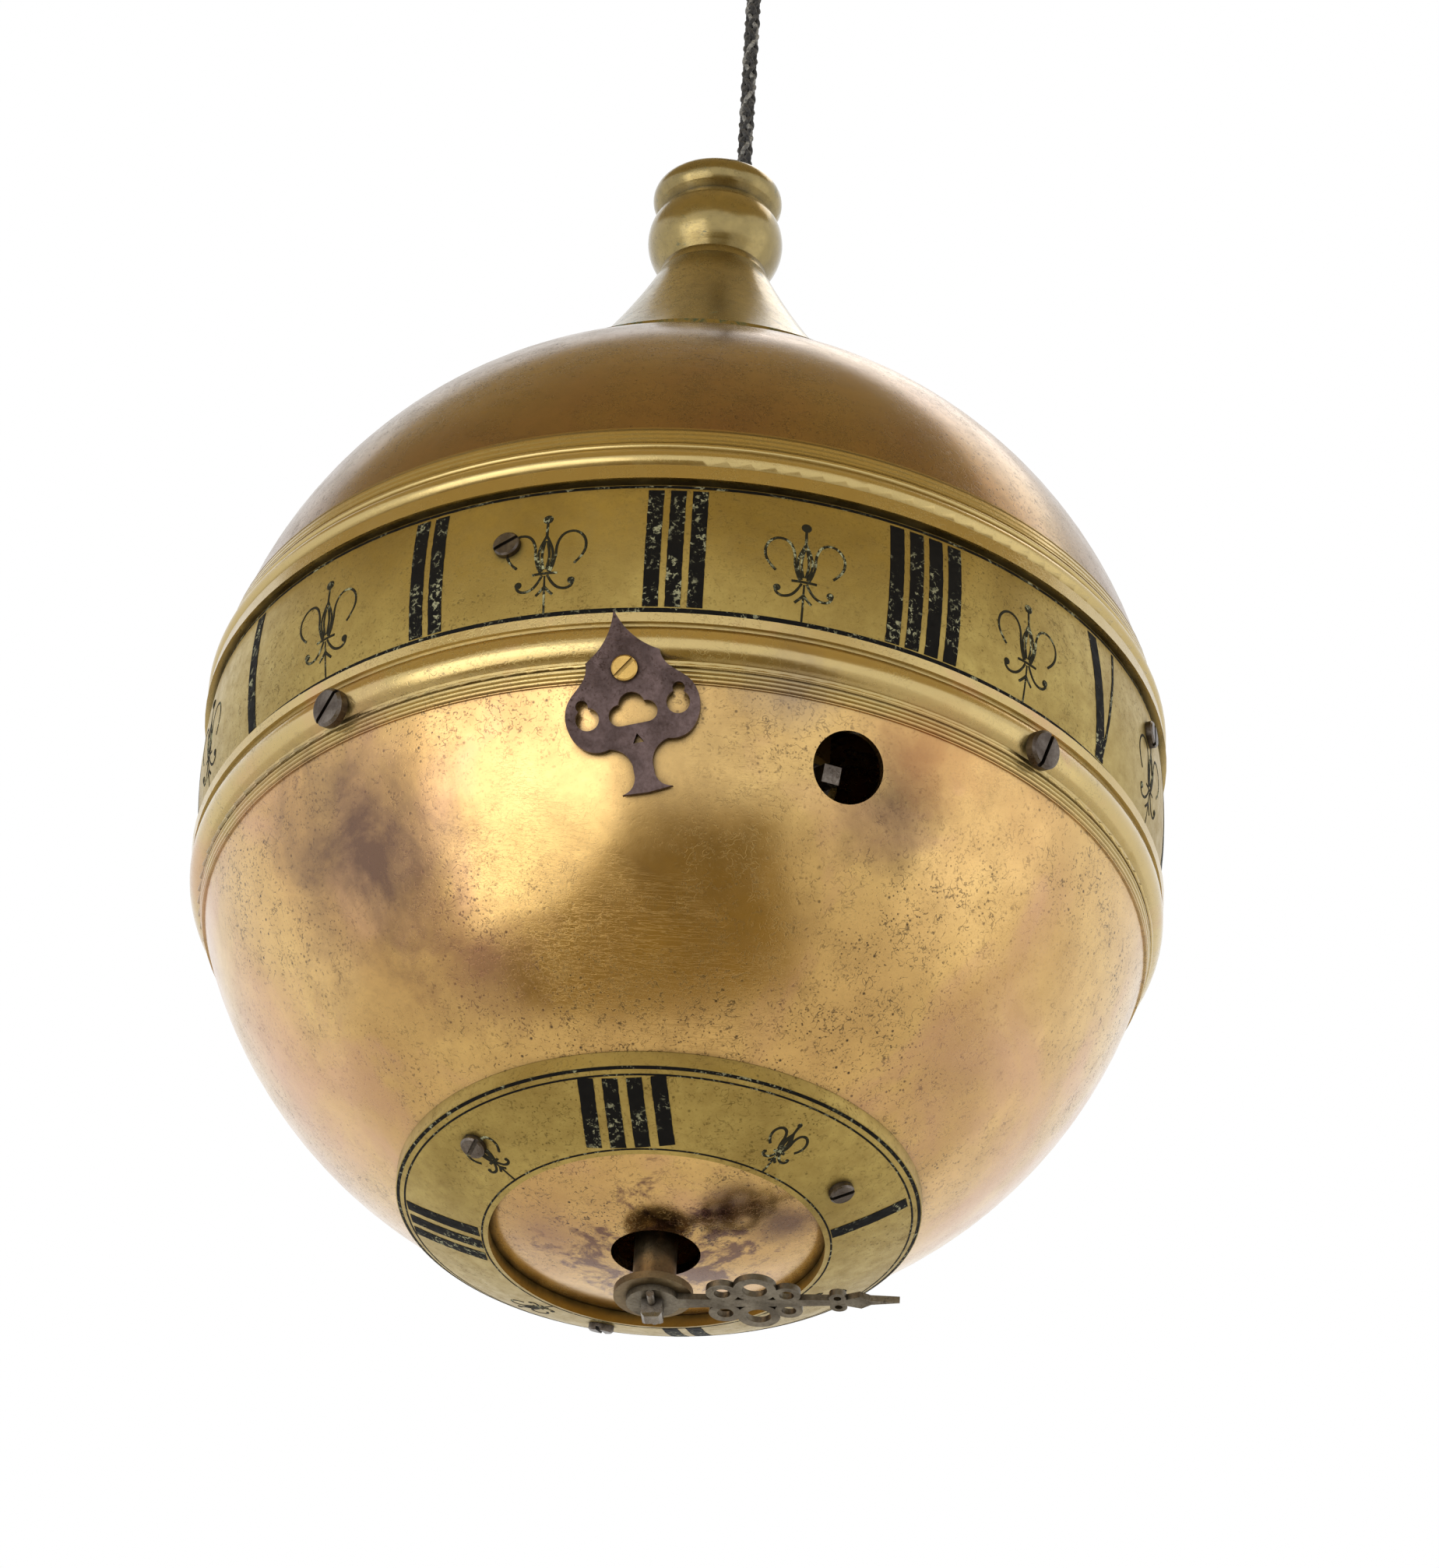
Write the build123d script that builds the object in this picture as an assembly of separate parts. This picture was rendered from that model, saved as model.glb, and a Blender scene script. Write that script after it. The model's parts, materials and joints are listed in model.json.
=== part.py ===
from build123d import *
import math
import os

# A falling-ball clock. Millimetres, +Z up, front of the ball towards -Y.
# The model is drawn about the middle of the hour band, on the ball's own axis,
# and is moved at the end so that the origin is the middle of the hanging eye.

os.makedirs("parts", exist_ok=True)

# Ball and hour band
DOME_R = 57.5
WALL = 1.2
UPPER_CENTRE = 2.2
LOWER_CENTRE = -2.4
BAND_R = 57.3
BAND_HALF = 8.9
RIM_GAP = 0.5
BAND_WALL = 2.1
MOULDING = 8.3
RIM = BAND_HALF + RIM_GAP
BAND_BORE = BAND_R - BAND_WALL
CARRIER_WALL = 2.0
CARRIER_IN = BAND_BORE - CARRIER_WALL
RING_LAND = 3.2

# Fits
RUN = 0.05
FIT = 0.02
SEAT = 0.05

# Cord and hanging eye
CORD_D = 2.0
CORD_X = 3.0
EYE_BORE = 3.0
EYE_R = 5.6
EYE_WIDTH = 3.0
EYE_HEIGHT = 139.0
FERRULE_R = 2.0
FERRULE_LOW = 125.5
CORD_IN_FERRULE = 4.0

# Finial
FINIAL_TOP = 94.0
FINIAL_BORE = 4.6
TUBE_R = 7.0
BASE_R = 27.0
BASE_T = 1.1

# Plates and pillars
PLATE_T = 2.0
BOTTOM_R = CARRIER_IN - RING_LAND
BOTTOM_TOP = 1.0
TOP_PLATE = 32.0
TOP_R = BOTTOM_R - 3.8
PILLAR_R = 2.3
PILLAR_CIRCLE = BOTTOM_R - 8.0
PILLAR_START = -5.0
PILLAR_COUNT = 4

# Train: teeth and module of each pair
GREAT_TEETH = 60
CENTRE_LEAVES = 20
GREAT_MODULE = 0.7
SUN_LEAVES = 8
IDLER_TEETH = 44
RING_TEETH = 96
MOTION_MODULE = 0.9
CENTRE_TEETH = 60
THIRD_LEAVES = 10
CENTRE_MODULE = 0.48
THIRD_TEETH = 60
CONTRATE_LEAVES = 10
CONTRATE_TEETH = 40
CROWN_LEAVES = 10
ESCAPE_TEETH = 15
THIRD_MODULE = 0.42

# Arbors
ARBOR_R = 1.5
DRUM_ARBOR_R = 3.0
STUD_R = 1.5

# Drum
CORD_PITCH_R = 15.0
FLANGE_R = 16.6
DRUM_LOW = 8.0
DRUM_WEB = 1.0
BARREL_H = 18.4
BARREL_WALL = 1.4
CAP_T = 0.8

# Guide pulley
PULLEY_PITCH_R = 4.0
PULLEY_R = 5.0
PULLEY_W = 3.4
PULLEY_PIN_R = 1.0

# Quarter dial, arbor and hand
POLE_HOLE_R = 5.2
DIAL_OUT = 30.5
DIAL_IN = 19.5
DIAL_T = 1.5
PIPE_R = 2.5
BOSS_R = 4.6
BOSS_T = 0.9
BOSS_LOW = -65.6
HAND_T = 0.8
HAND_AZIMUTH = 83.0
HAND_LENGTH = 28.5
ARBOR_END = -68.6
ARBOR_SQUARE = 2.4

# Screws: head radius, head height, shank radius
RIM_SCREW = (2.3, 1.3, 0.95)
BAND_SCREW = (1.6, 0.8, 0.7)
DIAL_SCREW = (1.5, 0.8, 0.6)
POINTER_SCREW = (1.5, 0.7, 0.6)
PLATE_SCREW = (2.2, 1.2, 1.1)
SMALL_SCREW = (1.5, 0.8, 0.7)
SLOT_W = 0.5

# Places round the ball, as degrees from the front towards +X
RIM_SCREW_AZIMUTHS = (-45.0, 45.0, 135.0, 225.0)
RIM_SCREW_DROP = 4.6
BAND_SCREWS = ((-22.2, 1.4), (71.7, 4.2), (158.0, 1.4), (-112.0, 4.2))
DIAL_SCREWS = ((-55.5, 26.0), (61.6, 23.6), (-165.0, 22.6))
POINTER_AZIMUTH = -6.7
POINTER_TILT = 11.4
POINTER_MID_Z = -20.0
POINTER_T = 0.9
ACCESS_AZIMUTH = 20.4
ACCESS_Z = -24.0
ACCESS_R = 4.25

SCREWS_Z = -RIM - RIM_SCREW_DROP
BOTTOM_LOW = BOTTOM_TOP - PLATE_T
TOP_TOP = TOP_PLATE + PLATE_T
BARREL_R = CORD_PITCH_R - CORD_D / 2
BARREL_LOW = DRUM_LOW + DRUM_WEB
BARREL_TOP = BARREL_LOW + BARREL_H
CORD_Z = BARREL_TOP - CORD_D / 2
CENTRE_DISTANCE = GREAT_MODULE * (GREAT_TEETH + CENTRE_LEAVES) / 2
DRUM_Y = CORD_PITCH_R
DRUM_X = math.sqrt(CENTRE_DISTANCE**2 - DRUM_Y**2)
DRUM_ANGLE = math.degrees(math.atan2(DRUM_Y, DRUM_X))
PULLEY_X = CORD_X + PULLEY_PITCH_R
PULLEY_Z = CORD_Z + PULLEY_PITCH_R


# Helpers
def polar(radius, angle, z=0.0):
    """A point by radius and angle from +X."""
    a = math.radians(angle)
    return Vector(radius * math.cos(a), radius * math.sin(a), z)


def bearing(radius, azimuth, z=0.0):
    """A point by radius and azimuth, counted from the front towards +X."""
    return polar(radius, azimuth - 90, z)


def sphere_r(radius, centre, z):
    """How far a sphere's surface is from the axis at height z."""
    return math.sqrt(radius**2 - (z - centre) ** 2)


def sphere_drop(radius, centre, r):
    """The lower height of a sphere's surface at r from the axis."""
    return centre - math.sqrt(radius**2 - r**2)


def disc(radius, low, high, bore=0.0, at=(0, 0)):
    """A round plate or collar along Z, with an optional bore."""
    height = high - low
    solid = Cylinder(radius, height, align=(Align.CENTER, Align.CENTER, Align.MIN))
    if bore > 0:
        solid -= Cylinder(bore, height, align=(Align.CENTER, Align.CENTER, Align.MIN))
    return Pos(at[0], at[1], low) * solid


def bar(x0, x1, y0, y1, z0, z1):
    """A plain block between two corners."""
    middle = Pos((x0 + x1) / 2, (y0 + y1) / 2, (z0 + z1) / 2)
    return middle * Box(x1 - x0, y1 - y0, z1 - z0)


def turned(*edges):
    """A turned piece from closed edges in the XZ plane."""
    return revolve(make_face(Wire(edges)), Axis.Z)


def outline_face(points):
    """A flat face in the XY plane from its corners."""
    return make_face(Polyline(*points, close=True))


def run_of(points):
    """Straight edges through points given as (r, z)."""
    corners = [Vector(r, 0, z) for r, z in points]
    return [Line(a, b) for a, b in zip(corners, corners[1:])]


def bow(start, middle, end):
    """An arc through three points given as (r, z)."""
    return ThreePointArc(*[Vector(r, 0, z) for r, z in (start, middle, end)])


def wheel_points(teeth, module, phase, inward=False):
    """Corners of a toothed edge. A tooth is centred on the phase angle."""
    pitch = teeth * module / 2
    sign = -1 if inward else 1
    tip = pitch + sign * 0.85 * module
    root = pitch - sign * 1.1 * module
    step = 360 / teeth
    tooth = (
        (-0.30 * step, root),
        (-0.115 * step, tip),
        (0.115 * step, tip),
        (0.30 * step, root),
    )
    return [polar(r, phase + k * step + a) for k in range(teeth) for a, r in tooth]


def wheel(teeth, module, phase, low, high, bore, at=(0, 0)):
    """A spur wheel or pinion with a round bore."""
    face = outline_face(wheel_points(teeth, module, phase)) - Circle(bore)
    return Pos(at[0], at[1], low) * extrude(face, high - low)


def crossed(solid, radius, hub, rim, arms, low, high, at=(0, 0), phase=0.0):
    """Cuts a wheel's web into arms, as clock wheels are crossed out."""
    window = 360 / arms
    inner = Circle(rim) - Circle(hub)
    arm_w = radius * 0.13
    for k in range(arms):
        arm = Pos(radius / 2, 0) * Rectangle(radius, arm_w)
        inner -= Rot(0, 0, phase + k * window) * arm
    cut = Pos(at[0], at[1], low - 1) * extrude(inner, high - low + 2)
    return solid - cut


def phase_outside(teeth_a, phase_a, teeth_b, angle):
    """Phase of an outside wheel B in mesh with A, seen from A at an angle."""
    share_a = (angle - phase_a) * teeth_a / 360
    return angle + 180 - (0.5 - share_a) * 360 / teeth_b


def phase_inside(teeth_a, phase_a, teeth_ring, angle):
    """Phase of an internal ring in mesh with A, at an angle."""
    share_a = (angle - phase_a) * teeth_a / 360
    return angle - (share_a - 0.5) * 360 / teeth_ring


def screw(size, length, slot_turn=0.0):
    """A slotted cheese-head screw. The head stands on z = 0, the shank goes down."""
    head_r, head_h, shank_r = size
    head = Cylinder(head_r, head_h, align=(Align.CENTER, Align.CENTER, Align.MIN))
    head = chamfer(head.edges().group_by(Axis.Z)[-1], head_h * 0.25)
    slot = Pos(0, 0, head_h) * Box(head_r * 3, SLOT_W, head_h)
    head -= Rot(0, 0, slot_turn) * slot
    shank = Cylinder(shank_r, length, align=(Align.CENTER, Align.CENTER, Align.MAX))
    return head + shank


def outward(point, centre_z):
    """The frame at a point of a sphere, with its Z pointing out of the ball."""
    normal = point - Vector(0, 0, centre_z)
    across = Vector(0, 0, 1).cross(normal)
    return Plane(origin=point, x_dir=across, z_dir=normal)


def to_row(shape):
    """Moves a piece from the ball's frame to the hanging eye's frame."""
    return Pos(-CORD_X, 0, -EYE_HEIGHT) * shape


def save(node, shape):
    """Writes one node."""
    solids = list(shape.solids())
    moved = [to_row(s) for s in solids]
    export_step(moved[0] if len(moved) == 1 else Compound(moved), f"parts/{node}.step")


REEDS = 3
REED_H = 0.25
REED_CUT = 0.16
QUIRK = 0.35


# Domes. A dome is drawn once, with its rim at the bottom, and the lower one is turned over.
def moulding_edges(centre, rim, lip_h, bead_low, bead_high, bead_h, upper_bead):
    """The rim's turned mouldings, from the rim's edge to the plain dome."""

    def out(z, proud):
        return (sphere_r(DOME_R + proud, centre, z), z)

    quirk = QUIRK
    bead_mid = (bead_low + bead_high) / 2
    a = rim + bead_low
    b = rim + bead_high
    c = b + quirk
    d = c + upper_bead
    e = d + quirk
    edges = run_of([out(rim, lip_h), out(a - quirk, lip_h), out(a - quirk, 0.0), out(a, 0.0)])
    edges.append(bow(out(a, 0.0), out(rim + bead_mid, bead_h), out(b, 0.0)))
    edges += run_of([out(b, 0.0), out(c, 0.0)])
    edges.append(bow(out(c, 0.0), out((c + d) / 2, 0.4), out(d, 0.0)))
    fillet_points = [out(d, 0.0), out(e, 0.0), out(e, REED_H)]
    pitch = (rim + MOULDING - e) / REEDS
    for k in range(REEDS):
        middle = e + pitch * (k + 0.5)
        fillet_points += [out(middle - REED_CUT, REED_H), out(middle, 0.0), out(middle + REED_CUT, REED_H)]
    fillet_points += [out(rim + MOULDING, REED_H), out(rim + MOULDING, 0.0)]
    return edges + run_of(fillet_points)


def dome(centre, rim, hole, lip_h, bead_low, bead_high, bead_h, upper_bead):
    """A hollow dome above its rim, with a hole at the pole."""
    inner = DOME_R - WALL

    def on(radius, r):
        return (r, centre + math.sqrt(radius**2 - r**2))

    edges = moulding_edges(centre, rim, lip_h, bead_low, bead_high, bead_h, upper_bead)
    start = (sphere_r(DOME_R, centre, rim + MOULDING), rim + MOULDING)
    end = on(DOME_R, hole)
    inner_end = on(inner, hole)
    rim_inner = (sphere_r(inner, centre, rim), rim)
    halfway = DOME_R * math.sin(math.radians(40))
    inner_half = inner * math.sin(math.radians(40))
    edges.append(bow(start, on(DOME_R, halfway), end))
    edges += run_of([end, inner_end])
    edges.append(bow(inner_end, on(inner, inner_half), rim_inner))
    edges += run_of([rim_inner, (sphere_r(DOME_R + lip_h, centre, rim), rim)])
    return turned(*edges)


def place_screws(size, length, seats, slot_turns):
    """Copies of one screw at several frames."""
    return [seat * screw(size, length, turn) for seat, turn in zip(seats, slot_turns)]


upper_dome = dome(UPPER_CENTRE, RIM, TUBE_R + SEAT, 0.35, 2.3, 4.5, 0.75, 0.8)
lower_dome = dome(-LOWER_CENTRE, RIM, POLE_HOLE_R, 0.45, 1.5, 5.6, 0.95, 0.5)
lower_dome = mirror(lower_dome, Plane.XY)

# Rim screws: the heads stand on the moulding, the shanks reach the shell brackets.
RIM_HEAD_R = DOME_R + 0.95
rim_seats = []
for azimuth in RIM_SCREW_AZIMUTHS:
    seat_r = sphere_r(RIM_HEAD_R, LOWER_CENTRE, SCREWS_Z)
    rim_seats.append(outward(bearing(seat_r, azimuth, SCREWS_Z), LOWER_CENTRE))
RIM_SHANK = 8.0
for seat in rim_seats:
    lower_dome -= seat * Cylinder(RIM_SCREW[2] + FIT, 12)

# Access hole and the pole's arbor hole
access_r = sphere_r(DOME_R, LOWER_CENTRE, ACCESS_Z)
access_seat = outward(bearing(access_r, ACCESS_AZIMUTH, ACCESS_Z), LOWER_CENTRE)
lower_dome -= access_seat * Cylinder(ACCESS_R, 12)

# Hour pointer: a pierced spade, flat, lying on the dome
POINTER_HALF = 7.7
POINTER_LONG = 21.6
pointer_mid = POINTER_LONG / 2
PLATE_RISE = 0.25
POINTER_LEAN = 4.0


def pointer_face():
    """The spade's outline, tip up, with v counted down from the tip."""

    def at(u, v):
        return Vector(u, pointer_mid - v, 0)

    right = [
        Spline(at(0, 0), at(1.5, 3.2), at(4.3, 5.6)),
        Spline(at(4.3, 5.6), at(5.0, 7.6), at(7.0, 9.6), at(7.7, 12.4), at(6.2, 15.4), at(3.4, 15.9)),
        Spline(at(3.4, 15.9), at(2.0, 16.6), at(1.15, 18.2)),
        Line(at(1.15, 18.2), at(1.15, 19.6)),
        Spline(at(1.15, 19.6), at(1.7, 20.8), at(2.9, 21.4)),
        Line(at(2.9, 21.4), at(0, POINTER_LONG)),
    ]
    left = [e for curve in right for e in mirror(curve, Plane.YZ).edges()]
    edges = [e for curve in right for e in curve.edges()]
    face = make_face(Wire(edges + left))
    for side in (-1, 1):
        face -= Pos(side * 5.25, pointer_mid - 12.0) * Circle(1.35)
        face -= Pos(side * 5.6, pointer_mid - 10.4) * Circle(0.7)
    face -= Pos(0, pointer_mid - 12.3) * SlotOverall(5.6, 2.5)
    face -= Pos(0, pointer_mid - 11.3) * Circle(1.5)
    face -= Pos(0, pointer_mid - 15.4) * RegularPolygon(0.75, 3, rotation=90)
    face -= Pos(0, pointer_mid - 7.05) * Circle(POINTER_SCREW[2] + FIT)
    return face


pointer_r = sphere_r(DOME_R + PLATE_RISE, LOWER_CENTRE, POINTER_MID_Z)
pointer_seat = outward(bearing(pointer_r, POINTER_AZIMUTH, POINTER_MID_Z), LOWER_CENTRE)
pointer_seat = pointer_seat * Rot(0, 0, POINTER_TILT) * Rot(POINTER_LEAN, 0, 0)
hour_pointer = pointer_seat * extrude(pointer_face(), POINTER_T)
screw_place = pointer_seat * Pos(0, pointer_mid - 7.05, POINTER_T)
pointer_screw = screw_place * screw(POINTER_SCREW, POINTER_T + 2.6, 35)
lower_dome -= screw_place * Cylinder(POINTER_SCREW[2] + FIT, 12)

# Quarter dial: a domed ring on the underside
dial_inner = DOME_R + SEAT
dial_outer = dial_inner + DIAL_T
dial_profile = [
    bow(
        (DIAL_IN, sphere_drop(dial_outer, LOWER_CENTRE, DIAL_IN)),
        (25.0, sphere_drop(dial_outer, LOWER_CENTRE, 25.0)),
        (DIAL_OUT, sphere_drop(dial_outer, LOWER_CENTRE, DIAL_OUT)),
    ),
    *run_of(
        [
            (DIAL_OUT, sphere_drop(dial_outer, LOWER_CENTRE, DIAL_OUT)),
            (DIAL_OUT, sphere_drop(dial_inner, LOWER_CENTRE, DIAL_OUT)),
        ]
    ),
    bow(
        (DIAL_OUT, sphere_drop(dial_inner, LOWER_CENTRE, DIAL_OUT)),
        (25.0, sphere_drop(dial_inner, LOWER_CENTRE, 25.0)),
        (DIAL_IN, sphere_drop(dial_inner, LOWER_CENTRE, DIAL_IN)),
    ),
    *run_of(
        [
            (DIAL_IN, sphere_drop(dial_inner, LOWER_CENTRE, DIAL_IN)),
            (DIAL_IN, sphere_drop(dial_outer, LOWER_CENTRE, DIAL_IN)),
        ]
    ),
]
quarter_dial = turned(*dial_profile)
dial_seats = []
for azimuth, r in DIAL_SCREWS:
    drop = sphere_drop(dial_outer, LOWER_CENTRE, r)
    dial_seats.append(outward(bearing(r, azimuth, drop), LOWER_CENTRE))
for seat in dial_seats:
    quarter_dial -= seat * Cylinder(DIAL_SCREW[2] + FIT, 12)
    lower_dome -= seat * Cylinder(DIAL_SCREW[2] + FIT, 12)

save("upper_dome", upper_dome)
save("lower_dome", lower_dome)
save("quarter_dial", quarter_dial)
save("hour_pointer", hour_pointer)
save("pointer_screw", pointer_screw)
save("rim_screws", Compound(place_screws(RIM_SCREW, RIM_SHANK, rim_seats, (40, 78, 10, 130))))
dial_screws = place_screws(DIAL_SCREW, DIAL_T + WALL + 1.0, dial_seats, (20, 70, 120))
save("dial_screws", Compound(dial_screws))

# Finial: turned brass, screwed on the crown tube over the dome
def dome_height(r, proud=0.0):
    return UPPER_CENTRE + math.sqrt((DOME_R + proud) ** 2 - r**2)


FLARE_FOOT = BASE_R - 6.5
BASE_MID = (FLARE_FOOT + 0.7 + BASE_R) / 2
SEAT_MID = (TUBE_R + BASE_R) / 2
finial = turned(
    *run_of([(FINIAL_BORE, dome_height(FINIAL_BORE, SEAT) + 8.0), (FINIAL_BORE, FINIAL_TOP - 2.0)]),
    bow((FINIAL_BORE, FINIAL_TOP - 2.0), (5.1, FINIAL_TOP - 0.7), (6.2, FINIAL_TOP - 0.2)),
    bow((6.2, FINIAL_TOP - 0.2), (7.9, FINIAL_TOP - 1.9), (7.4, FINIAL_TOP - 3.9)),
    *run_of([(7.4, FINIAL_TOP - 3.9), (6.7, FINIAL_TOP - 4.6)]),
    bow((6.7, FINIAL_TOP - 4.6), (8.3, FINIAL_TOP - 8.8), (6.9, FINIAL_TOP - 12.8)),
    *run_of([(6.9, FINIAL_TOP - 12.8), (6.5, FINIAL_TOP - 13.4), (6.8, FINIAL_TOP - 14.6)]),
    bow((6.8, FINIAL_TOP - 14.6), (11.3, 71.0), (FLARE_FOOT, dome_height(FLARE_FOOT, 2.0))),
    *run_of(
        [
            (FLARE_FOOT, dome_height(FLARE_FOOT, 2.0)),
            (FLARE_FOOT + 0.7, dome_height(FLARE_FOOT + 0.7, BASE_T)),
        ]
    ),
    bow(
        (FLARE_FOOT + 0.7, dome_height(FLARE_FOOT + 0.7, BASE_T)),
        (BASE_MID, dome_height(BASE_MID, BASE_T)),
        (BASE_R, dome_height(BASE_R, BASE_T)),
    ),
    *run_of([(BASE_R, dome_height(BASE_R, BASE_T)), (BASE_R, dome_height(BASE_R, SEAT))]),
    bow(
        (BASE_R, dome_height(BASE_R, SEAT)),
        (SEAT_MID, dome_height(SEAT_MID, SEAT)),
        (TUBE_R + FIT, dome_height(TUBE_R + FIT, SEAT)),
    ),
    *run_of(
        [
            (TUBE_R + FIT, dome_height(TUBE_R + FIT, SEAT)),
            (TUBE_R + FIT, dome_height(FINIAL_BORE, SEAT) + 8.0),
            (FINIAL_BORE, dome_height(FINIAL_BORE, SEAT) + 8.0),
        ]
    ),
)
save("finial", finial)

# Crown: a tube through the dome on a plate that stands on three pillars
CROWN_R = 17.0
FLANGE_T = 1.95
CROWN_T = 2.4
CROWN_PILLARS = ((-12.0, 5.0), (6.0, 12.5), (12.0, -9.5))
CROWN_PILLAR_R = 1.8
TUBE_TOP = dome_height(FINIAL_BORE, SEAT) + 7.9
TUBE_FLANGE_R = 10.0
flange_top = dome_height(TUBE_FLANGE_R, -WALL) - SEAT
CROWN_TOP = flange_top - FLANGE_T
crown_tube = disc(TUBE_R, CROWN_TOP - CROWN_T, TUBE_TOP, FINIAL_BORE)
crown_tube += disc(TUBE_FLANGE_R, CROWN_TOP, flange_top, FINIAL_BORE)
crown_plate = disc(CROWN_R, CROWN_TOP - CROWN_T, CROWN_TOP, TUBE_R + FIT)
crown_pillars = []
for x, y in CROWN_PILLARS:
    post = disc(CROWN_PILLAR_R, TOP_TOP, CROWN_TOP - CROWN_T, at=(x, y))
    post += disc(CROWN_PILLAR_R - 0.7, TOP_PLATE, CROWN_TOP, at=(x, y))
    crown_pillars.append(post)
    crown_plate -= disc(CROWN_PILLAR_R - 0.7 + FIT, CROWN_TOP - 5, CROWN_TOP + 1, at=(x, y))
save("crown_tube", crown_tube)
save("crown_plate", crown_plate)
save("crown_pillars", Compound(crown_pillars))

# Plates and pillars
bottom_plate = disc(BOTTOM_R, BOTTOM_LOW, BOTTOM_TOP, ARBOR_R + RUN)
top_plate = disc(TOP_R, TOP_PLATE, TOP_TOP)
PLATE_SHANK = PLATE_SCREW[2]
plate_pillars = []
plate_screws = []
for k in range(PILLAR_COUNT):
    spot = polar(PILLAR_CIRCLE, PILLAR_START + 90 * k)
    at = (spot.X, spot.Y)
    pillar = disc(PILLAR_R, BOTTOM_TOP, TOP_PLATE, at=at)
    pillar += disc(PILLAR_R + 0.7, BOTTOM_TOP, BOTTOM_TOP + 2.0, at=at)
    pillar += disc(PILLAR_R + 0.7, TOP_PLATE - 2.0, TOP_PLATE, at=at)
    pillar -= disc(PLATE_SHANK + FIT, TOP_PLATE - 5.0, TOP_PLATE + 1, at=at)
    pillar += disc(PLATE_SHANK, BOTTOM_LOW, BOTTOM_TOP, at=at)
    plate_pillars.append(pillar)
    top_plate -= disc(PLATE_SHANK + FIT, TOP_PLATE - 1, TOP_TOP + 1, at=at)
    bottom_plate -= disc(PLATE_SHANK + FIT, BOTTOM_LOW - 1, BOTTOM_TOP + 1, at=at)
    plate_screws.append(Pos(spot.X, spot.Y, TOP_TOP) * screw(PLATE_SCREW, 6.0, 30 + 50 * k))
for x, y in CROWN_PILLARS:
    top_plate -= disc(CROWN_PILLAR_R - 0.7 + FIT, TOP_PLATE - 1, TOP_TOP + 1, at=(x, y))
save("plate_pillars", Compound(plate_pillars))
save("plate_screws", Compound(plate_screws))

# Shell brackets: they hang from the bottom plate and take the rim screws
BRACKET_W = 8.0
LEG_T = 2.0
LEG_CLEAR = 1.9
RING_TIP = MOTION_MODULE * (RING_TEETH / 2 - 0.85)
LEG_R = RING_TIP - LEG_T - LEG_CLEAR
FOOT_LONG = 5.0
FOOT_SCREW_IN = 3.0
BLOCK_BACK = 0.4
SHELF_LOW = SCREWS_Z - 2.6
BLOCK_R = sphere_r(DOME_R - WALL, LOWER_CENTRE, SCREWS_Z - 3.2) - 0.25
BLOCK_IN = BLOCK_R - 5.0
brackets = []
small_screws = []
for azimuth, seat in zip(RIM_SCREW_AZIMUTHS, rim_seats):
    half = BRACKET_W / 2
    piece = bar(LEG_R, LEG_R + LEG_T, -half, half, SHELF_LOW, BOTTOM_LOW)
    piece += bar(LEG_R - FOOT_LONG, LEG_R + LEG_T, -half, half, BOTTOM_LOW - LEG_T, BOTTOM_LOW)
    piece += bar(LEG_R, BLOCK_R - BLOCK_BACK, -half, half, SHELF_LOW, SHELF_LOW + LEG_T)
    piece += bar(BLOCK_IN, BLOCK_R - BLOCK_BACK, -half, half, SHELF_LOW, SCREWS_Z + 2.4)
    foot_hole = disc(SMALL_SCREW[2] + FIT, BOTTOM_LOW - 5, BOTTOM_LOW + 1, at=(LEG_R - FOOT_SCREW_IN, 0))
    piece -= foot_hole
    piece = Rot(0, 0, azimuth - 90) * piece
    piece -= seat * Cylinder(RIM_SCREW[2] + FIT, 24)
    brackets.append(piece)
    spot = bearing(LEG_R - FOOT_SCREW_IN, azimuth)
    under = Pos(spot.X, spot.Y, BOTTOM_LOW - LEG_T) * Rot(180, 0, 0)
    small_screws.append(under * screw(SMALL_SCREW, LEG_T + 1.6, azimuth))
    bottom_plate -= disc(SMALL_SCREW[2] + FIT, BOTTOM_LOW - 1, BOTTOM_TOP + 1, at=(spot.X, spot.Y))
save("shell_brackets", Compound(brackets))

# Hour band on its carrier. The carrier's lip lies on the bottom plate's edge.
band_edge = sphere_r(BAND_R, 0, BAND_HALF)
hour_band = turned(
    bow((band_edge, -BAND_HALF), (BAND_R, 0), (band_edge, BAND_HALF)),
    *run_of(
        [
            (band_edge, BAND_HALF),
            (BAND_BORE, BAND_HALF),
            (BAND_BORE, -BAND_HALF),
            (band_edge, -BAND_HALF),
        ]
    ),
)
CARRIER_OUT = BAND_BORE - RUN
CARRIER_HALF = BAND_HALF - 1.4
LIP_R = BOTTOM_R - 3.5
LIP_LOW = BOTTOM_TOP + RUN
LIP_T = 1.4
RING_SEAT = BOTTOM_LOW - 0.3
RING_LOW = RING_SEAT - 2.5
band_carrier = turned(
    *run_of(
        [
            (CARRIER_OUT, -CARRIER_HALF),
            (CARRIER_OUT, CARRIER_HALF),
            (CARRIER_IN, CARRIER_HALF),
            (CARRIER_IN, LIP_LOW + LIP_T),
            (LIP_R, LIP_LOW + LIP_T),
            (LIP_R, LIP_LOW),
            (BOTTOM_R + RUN, LIP_LOW),
            (BOTTOM_R + RUN, RING_SEAT),
            (CARRIER_IN, RING_SEAT),
            (CARRIER_IN, -CARRIER_HALF),
            (CARRIER_OUT, -CARRIER_HALF),
        ]
    )
)
band_screws = []
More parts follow.
